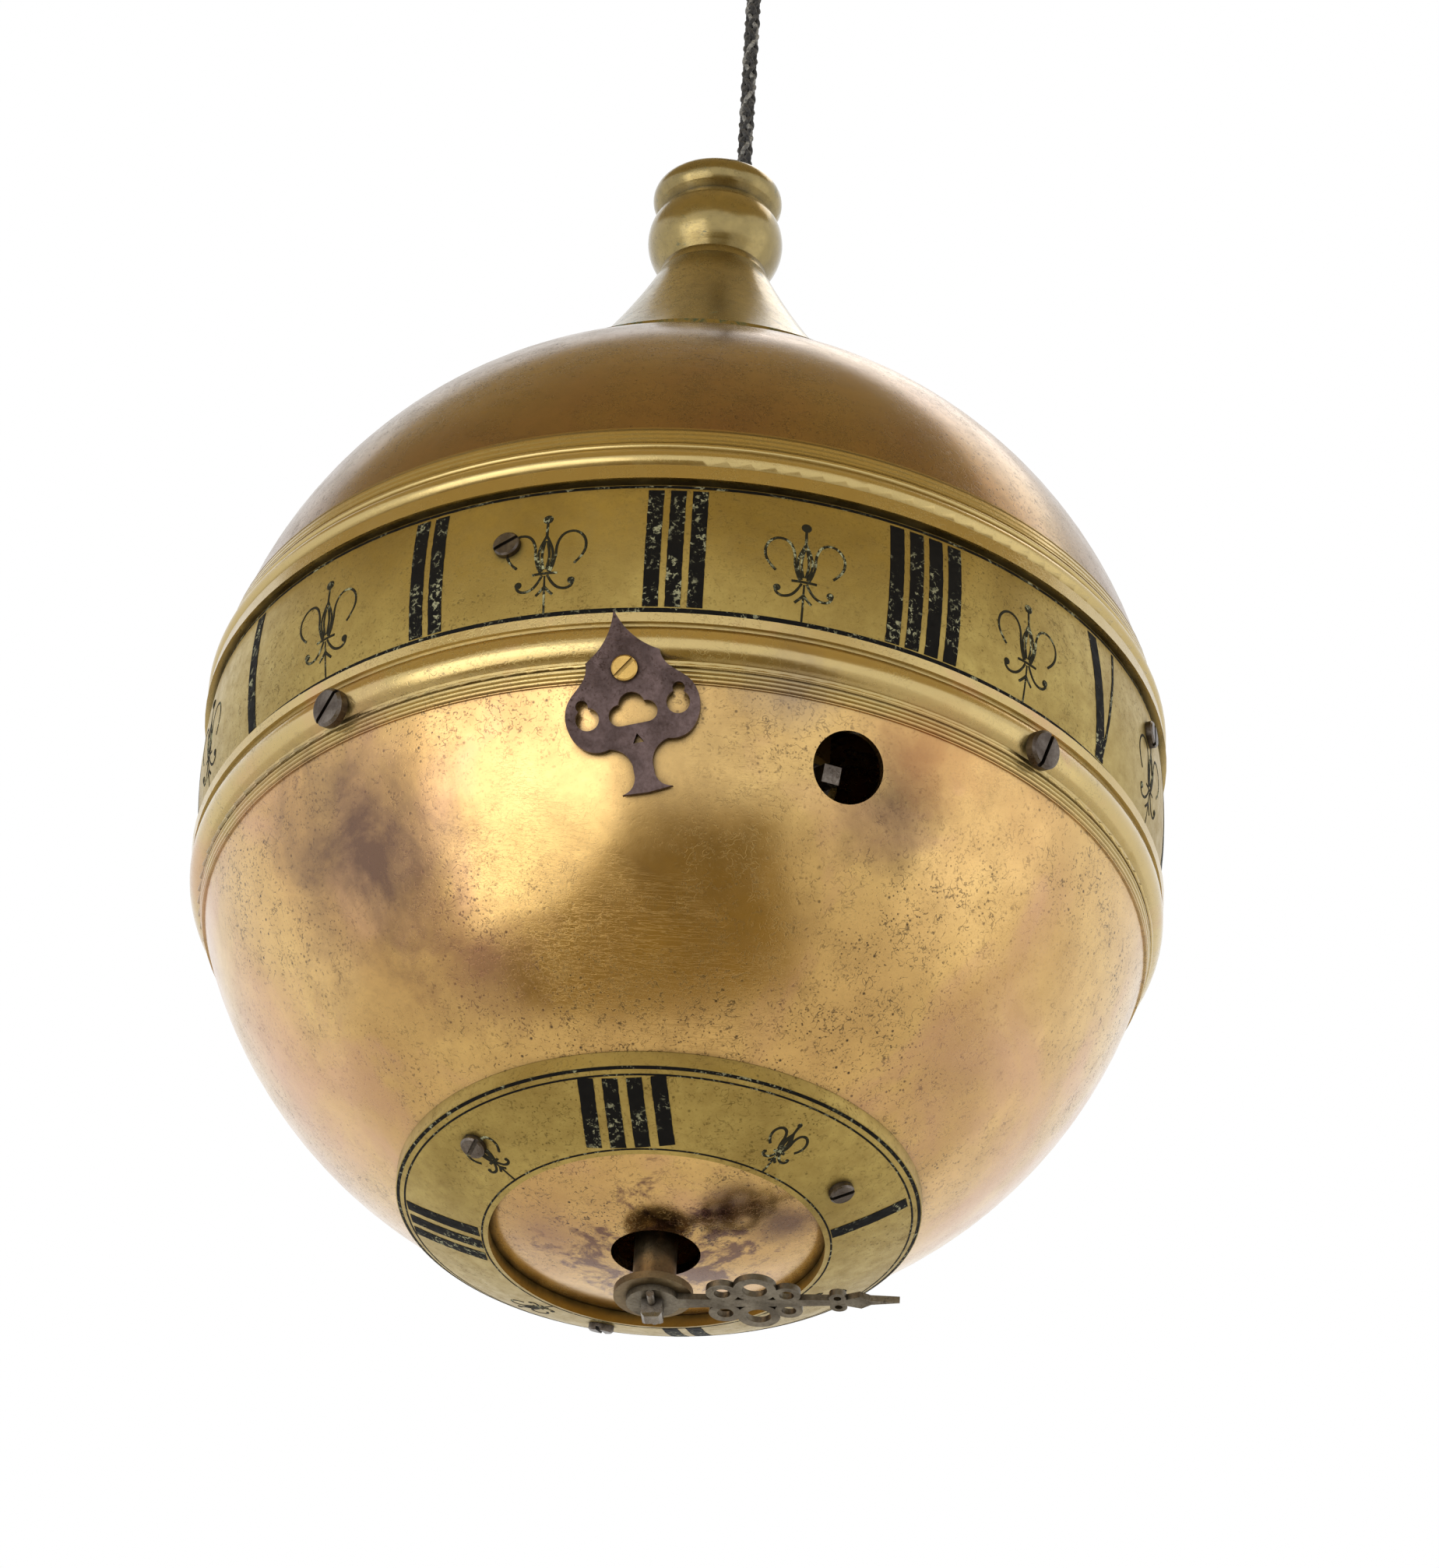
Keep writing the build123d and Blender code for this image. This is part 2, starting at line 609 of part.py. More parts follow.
for k, (azimuth, z) in enumerate(BAND_SCREWS):
    seat = outward(bearing(sphere_r(BAND_R, 0, z), azimuth, z), 0)
    band_screws.append(seat * screw(BAND_SCREW, 3.4, 25 + 60 * k))
    hole = seat * Cylinder(BAND_SCREW[2] + FIT, 12)
    hour_band -= hole
    band_carrier -= hole
save("hour_band", hour_band)
save("band_screws", Compound(band_screws))

# Motion work under the bottom plate: sun pinion, idler, internal ring
IDLER_ANGLE = 90.0
IDLER_DISTANCE = MOTION_MODULE * (SUN_LEAVES + IDLER_TEETH) / 2
idler_at = polar(IDLER_DISTANCE, IDLER_ANGLE)
idler_phase = phase_outside(SUN_LEAVES, 0, IDLER_TEETH, IDLER_ANGLE)
ring_phase = phase_inside(IDLER_TEETH, idler_phase, RING_TEETH, IDLER_ANGLE)
ring_face = Circle(CARRIER_IN - FIT) - outline_face(
    wheel_points(RING_TEETH, MOTION_MODULE, ring_phase, inward=True)
)
internal_ring_wheel = Pos(0, 0, RING_LOW) * extrude(ring_face, RING_SEAT - RING_LOW)
RING_SCREWS = 4
RING_SCREW_R = (BOTTOM_R + CARRIER_IN) / 2
ring_screws = []
for k in range(RING_SCREWS):
    spot = polar(RING_SCREW_R, 20 + 90 * k)
    hole = disc(SMALL_SCREW[2] + FIT, RING_LOW - 1, RING_SEAT + 2.2, at=(spot.X, spot.Y))
    internal_ring_wheel -= hole
    band_carrier -= hole
    under = Pos(spot.X, spot.Y, RING_LOW) * Rot(180, 0, 0)
    ring_screws.append(under * screw((1.3, 0.8, SMALL_SCREW[2]), 4.0, 40 * k))
save("band_carrier", band_carrier)
save("internal_ring_wheel", internal_ring_wheel)
save("ring_screws", Compound(ring_screws))

idler_centre = (idler_at.X, idler_at.Y)
idler_wheel = wheel(
    IDLER_TEETH, MOTION_MODULE, idler_phase, RING_LOW, RING_SEAT, STUD_R + RUN, idler_centre
)
idler_r = MOTION_MODULE * IDLER_TEETH / 2
idler_wheel = crossed(idler_wheel, idler_r, 5.0, idler_r - 3.2, 5, RING_LOW, RING_SEAT, idler_centre)
save("idler_wheel", idler_wheel)
idler_stud = disc(STUD_R, RING_LOW - RUN, BOTTOM_TOP, at=idler_centre)
idler_stud += disc(3.2, BOTTOM_TOP, BOTTOM_TOP + 0.7, at=idler_centre)
idler_stud += disc(3.0, RING_LOW - RUN - 1.0, RING_LOW - RUN, at=idler_centre)
save("idler_stud", idler_stud)
bottom_plate -= disc(STUD_R + FIT, BOTTOM_LOW - 1, BOTTOM_TOP + 1, at=idler_centre)

# Centre arbor: one turn an hour, carries the quarter hand below the ball
CENTRE_WHEEL_LOW = 2.2
CENTRE_WHEEL_T = 1.0
PINION_LOW = 3.6
PINION_TOP = 6.3
CENTRE_TOP = 10.3
hand_turn = HAND_AZIMUTH - 90
centre_arbor = disc(ARBOR_R, BOSS_LOW, CENTRE_TOP)
square = Box(ARBOR_SQUARE, ARBOR_SQUARE, BOSS_LOW - ARBOR_END)
square = Pos(0, 0, (BOSS_LOW + ARBOR_END) / 2) * Rot(0, 0, hand_turn) * square
square = chamfer(square.edges().group_by(Axis.Z)[0], 0.35)
HAND_PIN_R = 0.45
PIN_Z = BOSS_LOW - HAND_T - HAND_PIN_R - SEAT
pin_way = Pos(0, 0, PIN_Z) * Rot(0, 0, hand_turn + 90) * Rot(0, 90, 0)
centre_arbor += square
centre_arbor -= pin_way * Cylinder(HAND_PIN_R + FIT, 12)
centre_arbor += disc(2.4, BOTTOM_TOP + RUN, CENTRE_WHEEL_LOW)
hand_pin = pin_way * Cylinder(HAND_PIN_R, 6.4)
centre_wheel = wheel(
    CENTRE_TEETH, CENTRE_MODULE, 0, CENTRE_WHEEL_LOW, CENTRE_WHEEL_LOW + CENTRE_WHEEL_T, ARBOR_R + FIT
)
centre_r = CENTRE_MODULE * CENTRE_TEETH / 2
centre_wheel = crossed(
    centre_wheel, centre_r, 4.0, centre_r - 2.0, 4, CENTRE_WHEEL_LOW, CENTRE_WHEEL_LOW + CENTRE_WHEEL_T
)
centre_pinion = wheel(CENTRE_LEAVES, GREAT_MODULE, 0, PINION_LOW, PINION_TOP, ARBOR_R + FIT)
sun_pinion = wheel(SUN_LEAVES, MOTION_MODULE, 0, RING_LOW, RING_SEAT, ARBOR_R + FIT)
PIPE_TOP = -18.0
hand_pipe = disc(PIPE_R, BOSS_LOW + BOSS_T, PIPE_TOP, ARBOR_R + FIT)
hand_pipe += disc(BOSS_R, BOSS_LOW, BOSS_LOW + BOSS_T, ARBOR_R + FIT)
save("centre_arbor", centre_arbor)
save("centre_wheel", centre_wheel)
save("centre_pinion", centre_pinion)
save("sun_pinion", sun_pinion)
save("hand_pipe", hand_pipe)
save("hand_pin", hand_pin)


def ring_of(radius, hole, x, y):
    """A pierced boss of the hand, in outline."""
    return (Pos(x, y) * Circle(radius), Pos(x, y) * Circle(hole))


# Quarter hand: pierced scrolls and a slender tail
scrolls = [ring_of(3.1, 0.01, 0, 0)]
for side in (-1, 1):
    scrolls.append(ring_of(1.9, 0.95, 8.2, side * 2.2))
    scrolls.append(ring_of(2.5, 1.45, 12.0, side * 2.9))
    scrolls.append(ring_of(1.6, 0.85, 15.6, side * 1.7))
    scrolls.append(ring_of(1.0, 0.45, 21.4, side * 0.95))
tail = make_face(
    Polyline(
        (0, -1.1), (8, -0.8), (18, -0.7), (22, -0.55), (24.0, -1.3), (25.2, -0.45), (HAND_LENGTH, -0.1),
        (HAND_LENGTH, 0.1), (25.2, 0.45), (24.0, 1.3), (22, 0.55), (18, 0.7), (8, 0.8), (0, 1.1),
        close=True,
    )
)
hand_face = tail
for outer, _ in scrolls:
    hand_face += outer
for _, hole in scrolls[1:]:
    hand_face -= hole
hand_face -= Rectangle(ARBOR_SQUARE + 2 * FIT, ARBOR_SQUARE + 2 * FIT)
quarter_hand = Pos(0, 0, BOSS_LOW - HAND_T) * Rot(0, 0, hand_turn) * extrude(hand_face, HAND_T - FIT)
save("quarter_hand", quarter_hand)

# Centre cock above, motion cock below the bottom plate
COCK_ANGLE = 135.0
COCK_REACH = 18.5
COCK_LOW = 8.4
COCK_T = 1.8
COCK_W = 7.0
centre_cock = bar(0, COCK_REACH + 3.5, -COCK_W / 2, COCK_W / 2, COCK_LOW, COCK_LOW + COCK_T)
centre_cock += disc(COCK_W / 2, COCK_LOW, COCK_LOW + COCK_T)
centre_cock += bar(COCK_REACH - 2.5, COCK_REACH + 3.5, -COCK_W / 2, COCK_W / 2, BOTTOM_TOP, COCK_LOW)
centre_cock -= disc(ARBOR_R + RUN, COCK_LOW - 1, COCK_LOW + COCK_T + 1)
foot = (COCK_REACH + 0.5, 0)
centre_cock -= disc(SMALL_SCREW[2] + FIT, BOTTOM_TOP - 1, COCK_LOW + COCK_T + 1, at=foot)
centre_cock = Rot(0, 0, COCK_ANGLE) * centre_cock
foot_spot = polar(foot[0], COCK_ANGLE)
cock_screw_len = COCK_LOW + COCK_T - BOTTOM_TOP + PLATE_T
small_screws += [Pos(foot_spot.X, foot_spot.Y, COCK_LOW + COCK_T) * screw(SMALL_SCREW, cock_screw_len, 10)]
bottom_plate -= disc(SMALL_SCREW[2] + FIT, BOTTOM_LOW - 1, BOTTOM_TOP + 1, at=(foot_spot.X, foot_spot.Y))
save("centre_cock", centre_cock)

MOTION_LOW = -9.0
MOTION_T = 1.8
MOTION_SPAN = 13.0
MOTION_SIDE = -8.0
BUSH_R = 3.2
BUSH_LOW = -17.5
motion_cock = bar(-MOTION_SPAN, MOTION_SPAN, MOTION_SIDE - 3, 3.4, MOTION_LOW, MOTION_LOW + MOTION_T)
for side in (-1, 1):
    leg = bar(-2, 2, MOTION_SIDE - 3, MOTION_SIDE + 3, MOTION_LOW, BOTTOM_LOW)
    motion_cock += Pos(side * (MOTION_SPAN - 2), 0, 0) * leg
motion_cock += disc(BUSH_R, BUSH_LOW, MOTION_LOW)
motion_cock -= disc(ARBOR_R + RUN, BUSH_LOW - 1, MOTION_LOW + MOTION_T + 1)
for side in (-1, 1):
    at = (side * (MOTION_SPAN - 2), MOTION_SIDE)
    motion_cock -= disc(SMALL_SCREW[2] + FIT, MOTION_LOW - 1, BOTTOM_LOW + 1, at=at)
    bottom_plate -= disc(SMALL_SCREW[2] + FIT, BOTTOM_LOW - 1, BOTTOM_TOP + 1, at=at)
    under = Pos(at[0], at[1], MOTION_LOW) * Rot(180, 0, 0)
    small_screws.append(under * screw(SMALL_SCREW, BOTTOM_LOW - MOTION_LOW + 1.6, 30 * side))
save("motion_cock", motion_cock)

# Drum side: fixed arbor, great wheel below, drum with its spring above
drum_at = (DRUM_X, DRUM_Y)
drum_arbor = disc(DRUM_ARBOR_R, BOTTOM_LOW, TOP_TOP, at=drum_at)
drum_arbor += disc(DRUM_ARBOR_R + 1.6, BOTTOM_TOP, 3.8, at=drum_at)
SPACER_LOW = BARREL_TOP + CAP_T + RUN
drum_arbor += disc(DRUM_ARBOR_R + 1.6, SPACER_LOW, TOP_PLATE, at=drum_at)
bottom_plate -= disc(DRUM_ARBOR_R + FIT, BOTTOM_LOW - 1, BOTTOM_TOP + 1, at=drum_at)
top_plate -= disc(DRUM_ARBOR_R + FIT, TOP_PLATE - 1, TOP_TOP + 1, at=drum_at)
save("drum_arbor", drum_arbor)

GREAT_LOW = 3.9
GREAT_TOP = 6.0
great_phase = phase_outside(CENTRE_LEAVES, 0, GREAT_TEETH, DRUM_ANGLE)
great_wheel = wheel(GREAT_TEETH, GREAT_MODULE, great_phase, GREAT_LOW, GREAT_TOP, DRUM_ARBOR_R + RUN, drum_at)
CLICK_R = 18.3
CLICK_ANGLE = 250.0
CLICK_SPAN = 22.0
CLICK_PIVOT_R = 1.0
CLICK_LOW = 6.4
CLICK_TOP = 7.6
CLICK_CLEAR = 0.12
click_spot = polar(CLICK_R, CLICK_ANGLE)
stud_at = (DRUM_X + click_spot.X, DRUM_Y + click_spot.Y)
great_wheel += disc(CLICK_PIVOT_R, GREAT_TOP - 0.5, CLICK_TOP + 0.2, at=stud_at)
save("great_wheel", great_wheel)

RATCHET_TEETH = 24
RATCHET_R = 11.5
RATCHET_DEPTH = 1.3
RATCHET_LOW = 6.4
ratchet_step = 360 / RATCHET_TEETH
ratchet_points = []
for k in range(RATCHET_TEETH):
    ratchet_points.append(polar(RATCHET_R, k * ratchet_step))
    ratchet_points.append(polar(RATCHET_R - RATCHET_DEPTH, k * ratchet_step + 1.0))
ratchet_face = outline_face(ratchet_points) - Circle(DRUM_ARBOR_R + RUN)
ratchet_wheel = Pos(DRUM_X, DRUM_Y, RATCHET_LOW) * extrude(ratchet_face, DRUM_LOW - RATCHET_LOW)
save("ratchet_wheel", ratchet_wheel)

# Click: a tapered pawl whose tail is its own spring
CLICK_HALF = 1.4
TAIL_SWEEP = 45.0
TAIL_HALF = 0.2
nose = polar(RATCHET_R + CLICK_CLEAR, CLICK_ANGLE - CLICK_SPAN)
run = (nose - click_spot).normalized()
side_step = Vector(-run.Y, run.X, 0) * CLICK_HALF
click_face = outline_face([click_spot + side_step, nose, click_spot - side_step])
click_face += Pos(click_spot.X, click_spot.Y) * Circle(CLICK_HALF + 0.4)
tail_ends = [CLICK_ANGLE, CLICK_ANGLE + TAIL_SWEEP / 2, CLICK_ANGLE + TAIL_SWEEP]
tail_out = [polar(CLICK_R + TAIL_HALF, a) for a in tail_ends]
tail_in = [polar(CLICK_R - TAIL_HALF, a) for a in reversed(tail_ends)]
click_face += make_face(
    Wire(
        [
            ThreePointArc(*tail_out),
            Line(tail_out[-1], tail_in[0]),
            ThreePointArc(*tail_in),
            Line(tail_in[-1], tail_out[0]),
        ]
    )
)
click_face -= Pos(click_spot.X, click_spot.Y) * Circle(CLICK_PIVOT_R + RUN)
click = Pos(DRUM_X, DRUM_Y, CLICK_LOW) * extrude(click_face, CLICK_TOP - CLICK_LOW)
save("click", click)

cord_drum = disc(FLANGE_R, DRUM_LOW, BARREL_LOW, DRUM_ARBOR_R + RUN, at=drum_at)
cord_drum += disc(BARREL_R, BARREL_LOW, BARREL_TOP, BARREL_R - BARREL_WALL, at=drum_at)
drum_cap = disc(FLANGE_R, BARREL_TOP, BARREL_TOP + CAP_T, DRUM_ARBOR_R + RUN, at=drum_at)
save("cord_drum", cord_drum)
save("drum_cap", drum_cap)


def spiral(inner, outer, turns, thick, low, high, at):
    """A flat spiral spring: a thin ribbon that winds outwards at an even pitch."""
    steps = 10 * turns

    def edge(shift):
        radii = [inner + (outer - inner) * k / steps + shift for k in range(steps + 1)]
        return [polar(r, 360 * turns * k / steps) for k, r in enumerate(radii)]

    out, back = edge(thick / 2), edge(-thick / 2)
    sides = [Spline(*out), Line(out[-1], back[-1]), Spline(*reversed(back)), Line(back[0], out[0])]
    return Pos(at[0], at[1], low) * extrude(make_face(Wire(sides)), high - low)


# Rewind spring: takes the cord back in when the ball is lifted
SPRING_T = 0.35
SPRING_TURNS = 6
spring_in = DRUM_ARBOR_R + SPRING_T / 2 + FIT
spring_out = BARREL_R - BARREL_WALL - SPRING_T / 2 - RUN
rewind_spring = spiral(
    spring_in, spring_out, SPRING_TURNS, SPRING_T, BARREL_LOW + 1.0, BARREL_TOP - 1.0, drum_at
)
save("rewind_spring", rewind_spring)

# The wound cord: full turns as a plain sleeve below the turn that the cord leaves
winding = disc(CORD_PITCH_R + CORD_D / 2, BARREL_LOW, CORD_Z - CORD_D / 2 - FIT, BARREL_R + FIT, at=drum_at)
top_turn_wire = Edge.make_circle(CORD_PITCH_R, Plane.XY, start_angle=-90, end_angle=230)
turn_start = Plane(origin=(0, -CORD_PITCH_R, 0), z_dir=(1, 0, 0))
top_turn = sweep(turn_start * Circle(CORD_D / 2 - 2 * FIT), path=top_turn_wire)
top_turn = Pos(DRUM_X, DRUM_Y, CORD_Z) * top_turn
save("cord_winding", Compound([winding, *top_turn.solids()]))

# Guide pulley under the top plate turns the cord up through the finial
BRACKET_EAR = 1.2
EAR_GAP = PULLEY_W / 2 + 0.15
SLOT_HALF = PULLEY_R + 0.6
pulley_bracket = bar(
    PULLEY_X - SLOT_HALF - 3, PULLEY_X + SLOT_HALF + 3, -EAR_GAP - BRACKET_EAR, EAR_GAP + BRACKET_EAR,
    TOP_PLATE - 1.0, TOP_PLATE,
)
pulley_bracket -= bar(PULLEY_X - SLOT_HALF, PULLEY_X + SLOT_HALF, -EAR_GAP, EAR_GAP, TOP_PLATE - 2, TOP_PLATE + 1)
for side in (-1, 1):
    y0, y1 = sorted((side * EAR_GAP, side * (EAR_GAP + BRACKET_EAR)))
    pulley_bracket += bar(PULLEY_X - 2.2, PULLEY_X + 2.2, y0, y1, PULLEY_Z - 2.0, TOP_PLATE - 1.0)
pin_axis = Pos(PULLEY_X, 0, PULLEY_Z) * Rot(90, 0, 0)
pulley_bracket -= pin_axis * Cylinder(PULLEY_PIN_R + FIT, 12)
pulley_pin = pin_axis * Cylinder(PULLEY_PIN_R, 2 * (EAR_GAP + BRACKET_EAR))
groove_r = PULLEY_PITCH_R - CORD_D / 2
half_w = PULLEY_W / 2
pulley_profile = [
    *run_of([(PULLEY_PIN_R + RUN, -half_w), (PULLEY_R, -half_w), (PULLEY_R, -CORD_D / 2 - 0.15)]),
    bow((PULLEY_R, -CORD_D / 2 - 0.15), (groove_r - 0.1, 0), (PULLEY_R, CORD_D / 2 + 0.15)),
    *run_of(
        [
            (PULLEY_R, CORD_D / 2 + 0.15),
            (PULLEY_R, half_w),
            (PULLEY_PIN_R + RUN, half_w),
            (PULLEY_PIN_R + RUN, -half_w),
        ]
    ),
]
guide_pulley = pin_axis * turned(*pulley_profile)
top_plate -= bar(PULLEY_X - SLOT_HALF, PULLEY_X + SLOT_HALF, -EAR_GAP, EAR_GAP, TOP_PLATE - 1, TOP_TOP + 1)
save("pulley_bracket", pulley_bracket)
save("pulley_pin", pulley_pin)
save("guide_pulley", guide_pulley)

# The cord's run inside the ball, and the stretch that hangs the ball
CORD_END = FERRULE_LOW + CORD_IN_FERRULE
lead_path = Wire(
    [
        Line((CORD_X, 0, FINIAL_TOP), (CORD_X, 0, PULLEY_Z)),
        ThreePointArc(
            (CORD_X, 0, PULLEY_Z),
            (
                PULLEY_X - PULLEY_PITCH_R * math.sqrt(0.5),
                0,
                PULLEY_Z - PULLEY_PITCH_R * math.sqrt(0.5),
            ),
            (PULLEY_X, 0, CORD_Z),
        ),
        Line((PULLEY_X, 0, CORD_Z), (DRUM_X - FIT, 0, CORD_Z)),
    ]
)
lead_section = Plane(origin=(CORD_X, 0, FINIAL_TOP), z_dir=(0, 0, -1)) * Circle(CORD_D / 2 - 2 * FIT)
cord_lead = sweep(lead_section, path=lead_path)
cord_hanging = disc(CORD_D / 2, FINIAL_TOP, CORD_END, at=(CORD_X, 0))
save("cord_lead", cord_lead)
save("cord_hanging", cord_hanging)
print("cord hanging length", round(CORD_END - FINIAL_TOP, 2), "mm")

# Hanging eye: a ring on a ferrule that grips the cord
eye_ring = Pos(CORD_X, 0, EYE_HEIGHT) * Rot(90, 0, 0) * Cylinder(EYE_R, EYE_WIDTH)
eye_ring = fillet(eye_ring.edges().filter_by(GeomType.CIRCLE), 0.7)
ferrule = disc(FERRULE_R, FERRULE_LOW, EYE_HEIGHT - EYE_R + 1.0, at=(CORD_X, 0))
ferrule += disc(FERRULE_R + 0.6, FERRULE_LOW + 0.6, FERRULE_LOW + 1.6, at=(CORD_X, 0))
ferrule += disc(FERRULE_R + 0.6, EYE_HEIGHT - EYE_R - 1.6, EYE_HEIGHT - EYE_R - 0.6, at=(CORD_X, 0))
hanging_eye = eye_ring + ferrule
hanging_eye -= Pos(CORD_X, 0, EYE_HEIGHT) * Rot(90, 0, 0) * Cylinder(EYE_BORE, EYE_WIDTH + 2)
hanging_eye -= disc(CORD_D / 2 + FIT, FERRULE_LOW - 1, CORD_END + FIT, at=(CORD_X, 0))
save("hanging_eye", hanging_eye)

# Regulating arbor behind the access hole, in a bracket under the bottom plate
TIP_DEPTH = 5.6
REG_ARBOR_R = 1.6
REG_LONG = 24.0
reg_axis = access_seat * Pos(0, 0, -TIP_DEPTH)
regulating_arbor = reg_axis * Pos(0, 0, -REG_LONG / 2) * Cylinder(REG_ARBOR_R, REG_LONG)
reg_square = Pos(0, 0, -2.0) * Box(2.1, 2.1, 4.0)
regulating_arbor -= reg_axis * (Pos(0, 0, -2.0) * Cylinder(REG_ARBOR_R + 1, 4.0) - reg_square)
COLLAR_T = 1.0
REG_BEARINGS = (9.0, 19.0)
REG_CHEEK = 2.0
for depth, side in ((REG_BEARINGS[0], 1), (REG_BEARINGS[1], -1)):
    offset = side * (REG_CHEEK / 2 + RUN + COLLAR_T / 2)
    collar = Pos(0, 0, -depth + offset) * Cylinder(REG_ARBOR_R + 0.8, COLLAR_T)
    regulating_arbor += reg_axis * collar
reg_bracket = None
for depth in REG_BEARINGS:
    cheek_mid = (reg_axis * Pos(0, 0, -depth)).position
    reach = math.hypot(cheek_mid.X, cheek_mid.Y)
    cheek = reg_axis * Pos(0, 0, -depth) * Cylinder(3.6, REG_CHEEK)
    tall = bar(reach - 1.0, reach + 1.0, -2.6, 2.6, cheek_mid.Z + 2.9, BOTTOM_LOW)
    cheek += Rot(0, 0, ACCESS_AZIMUTH - 90) * tall
    reg_bracket = cheek if reg_bracket is None else reg_bracket + cheek
    inner_reach = reach
outer_mid = (reg_axis * Pos(0, 0, -REG_BEARINGS[0])).position
outer_reach = math.hypot(outer_mid.X, outer_mid.Y)
foot_bar = bar(inner_reach - 1.0, outer_reach + 1.0, -2.6, 2.6, BOTTOM_LOW - 5.2, BOTTOM_LOW - 3.4)
reg_bracket += Rot(0, 0, ACCESS_AZIMUTH - 90) * foot_bar
reg_bracket -= reg_axis * Pos(0, 0, -14) * Cylinder(REG_ARBOR_R + RUN, 40)
save("regulating_arbor", regulating_arbor)
save("regulating_bracket", reg_bracket)

# Going train: the third and contrate arbors stand between the plates
TRAIN_ARBOR_R = 1.1
PIVOT_R = 0.6
THIRD_ANGLE = 225.0
CONTRATE_TURN = 200.0
THIRD_WHEEL_LOW = 9.0
TRAIN_WHEEL_T = 1.0
third_spot = polar(CENTRE_MODULE * (CENTRE_TEETH + THIRD_LEAVES) / 2, THIRD_ANGLE)
contrate_spot = third_spot + polar(THIRD_MODULE * (THIRD_TEETH + CONTRATE_LEAVES) / 2, CONTRATE_TURN)
third_at = (third_spot.X, third_spot.Y)
contrate_at = (contrate_spot.X, contrate_spot.Y)


def train_arbor(at, leaves, module, phase, low, high):
    """An arbor with its pinion, and a pivot in each plate."""
    arbor = disc(TRAIN_ARBOR_R, BOTTOM_TOP + RUN, TOP_PLATE - RUN, at=at)
    arbor += disc(PIVOT_R, BOTTOM_LOW, TOP_TOP, at=at)
    return arbor + wheel(leaves, module, phase, low, high, TRAIN_ARBOR_R / 2, at)


third_phase = phase_outside(CENTRE_TEETH, 0, THIRD_LEAVES, THIRD_ANGLE)
third_arbor = train_arbor(
    third_at, THIRD_LEAVES, CENTRE_MODULE, third_phase,
    CENTRE_WHEEL_LOW - 0.4, CENTRE_WHEEL_LOW + CENTRE_WHEEL_T + 0.5,
)
third_r = THIRD_MODULE * THIRD_TEETH / 2
third_top = THIRD_WHEEL_LOW + TRAIN_WHEEL_T
third_wheel = wheel(
    THIRD_TEETH, THIRD_MODULE, 0, THIRD_WHEEL_LOW, third_top, TRAIN_ARBOR_R + FIT, third_at
)
third_wheel = crossed(third_wheel, third_r, 3.0, third_r - 1.8, 4, THIRD_WHEEL_LOW, third_top, third_at)
save("third_arbor", third_arbor)
save("third_wheel", third_wheel)

CONTRATE_LOW = 15.0
CONTRATE_FACE = 1.4
contrate_phase = phase_outside(THIRD_TEETH, 0, CONTRATE_LEAVES, CONTRATE_TURN)
contrate_arbor = train_arbor(
    contrate_at, CONTRATE_LEAVES, THIRD_MODULE, contrate_phase, THIRD_WHEEL_LOW - 0.6, third_top + 0.6
)
save("contrate_arbor", contrate_arbor)

# Contrate wheel: its teeth stand on the rim and drive the crown wheel's level arbor
contrate_r = THIRD_MODULE * CONTRATE_TEETH / 2
contrate_top = CONTRATE_LOW + TRAIN_WHEEL_T
rim_in = contrate_r - CONTRATE_FACE / 2
rim_out = contrate_r + CONTRATE_FACE / 2
tooth_low = contrate_top + 0.85
tooth_top = tooth_low + 1.8 * THIRD_MODULE
contrate_wheel = disc(rim_out, CONTRATE_LOW, contrate_top, TRAIN_ARBOR_R + FIT)
contrate_wheel = crossed(contrate_wheel, contrate_r, 2.8, rim_in - 0.5, 4, CONTRATE_LOW, contrate_top)
contrate_wheel += disc(rim_out, contrate_top - 0.3, tooth_low, rim_in)
contrate_step = 2 * math.pi * contrate_r / CONTRATE_TEETH
foot_half, tip_half = 0.24 * contrate_step, 0.09 * contrate_step
tooth_face = Plane.YZ * outline_face(
    [(-foot_half, tooth_low - 0.1), (-tip_half, tooth_top), (tip_half, tooth_top), (foot_half, tooth_low - 0.1)]
)
tooth = Pos(rim_in, 0, 0) * extrude(tooth_face, CONTRATE_FACE)
CROWN_TURN = CONTRATE_TURN - 227.0
contrate_wheel += [
    Rot(0, 0, CROWN_TURN + (k + 0.5) * 360 / CONTRATE_TEETH) * tooth for k in range(CONTRATE_TEETH)
]
contrate_wheel = Pos(contrate_spot.X, contrate_spot.Y, 0) * contrate_wheel
save("contrate_wheel", contrate_wheel)

# Crown wheel on its level arbor, which runs in the two cheeks of the crown cock
CROWN_Z = tooth_low + 1.1 * THIRD_MODULE + THIRD_MODULE * CROWN_LEAVES / 2
CROWN_ARBOR_R = 0.8
CHEEKS = ((4.2, 5.6), (11.6, 13.4))
CHEEK_HALF = 2.6
COLLAR_R = 1.4
ESCAPE_R = 6.8
ESCAPE_WALL = 0.7
ESCAPE_LOW = 15.0
ESCAPE_WEB = 0.8
ESCAPE_TOP = 18.3
crown_way = polar(1, CROWN_TURN)
crown_axis = Plane(origin=(contrate_spot.X, contrate_spot.Y, CROWN_Z), x_dir=(0, 0, 1), z_dir=crown_way)
pinion_low, pinion_high = contrate_r - 1.5, contrate_r + 1.5
crown_arbor = disc(CROWN_ARBOR_R, CHEEKS[0][0], ESCAPE_LOW + ESCAPE_WEB)
crown_arbor += disc(COLLAR_R, CHEEKS[0][1] + RUN, CHEEKS[1][0] - RUN)
crown_arbor += wheel(CROWN_LEAVES, THIRD_MODULE, 0, pinion_low, pinion_high, CROWN_ARBOR_R / 2)
save("crown_arbor", crown_axis * crown_arbor)

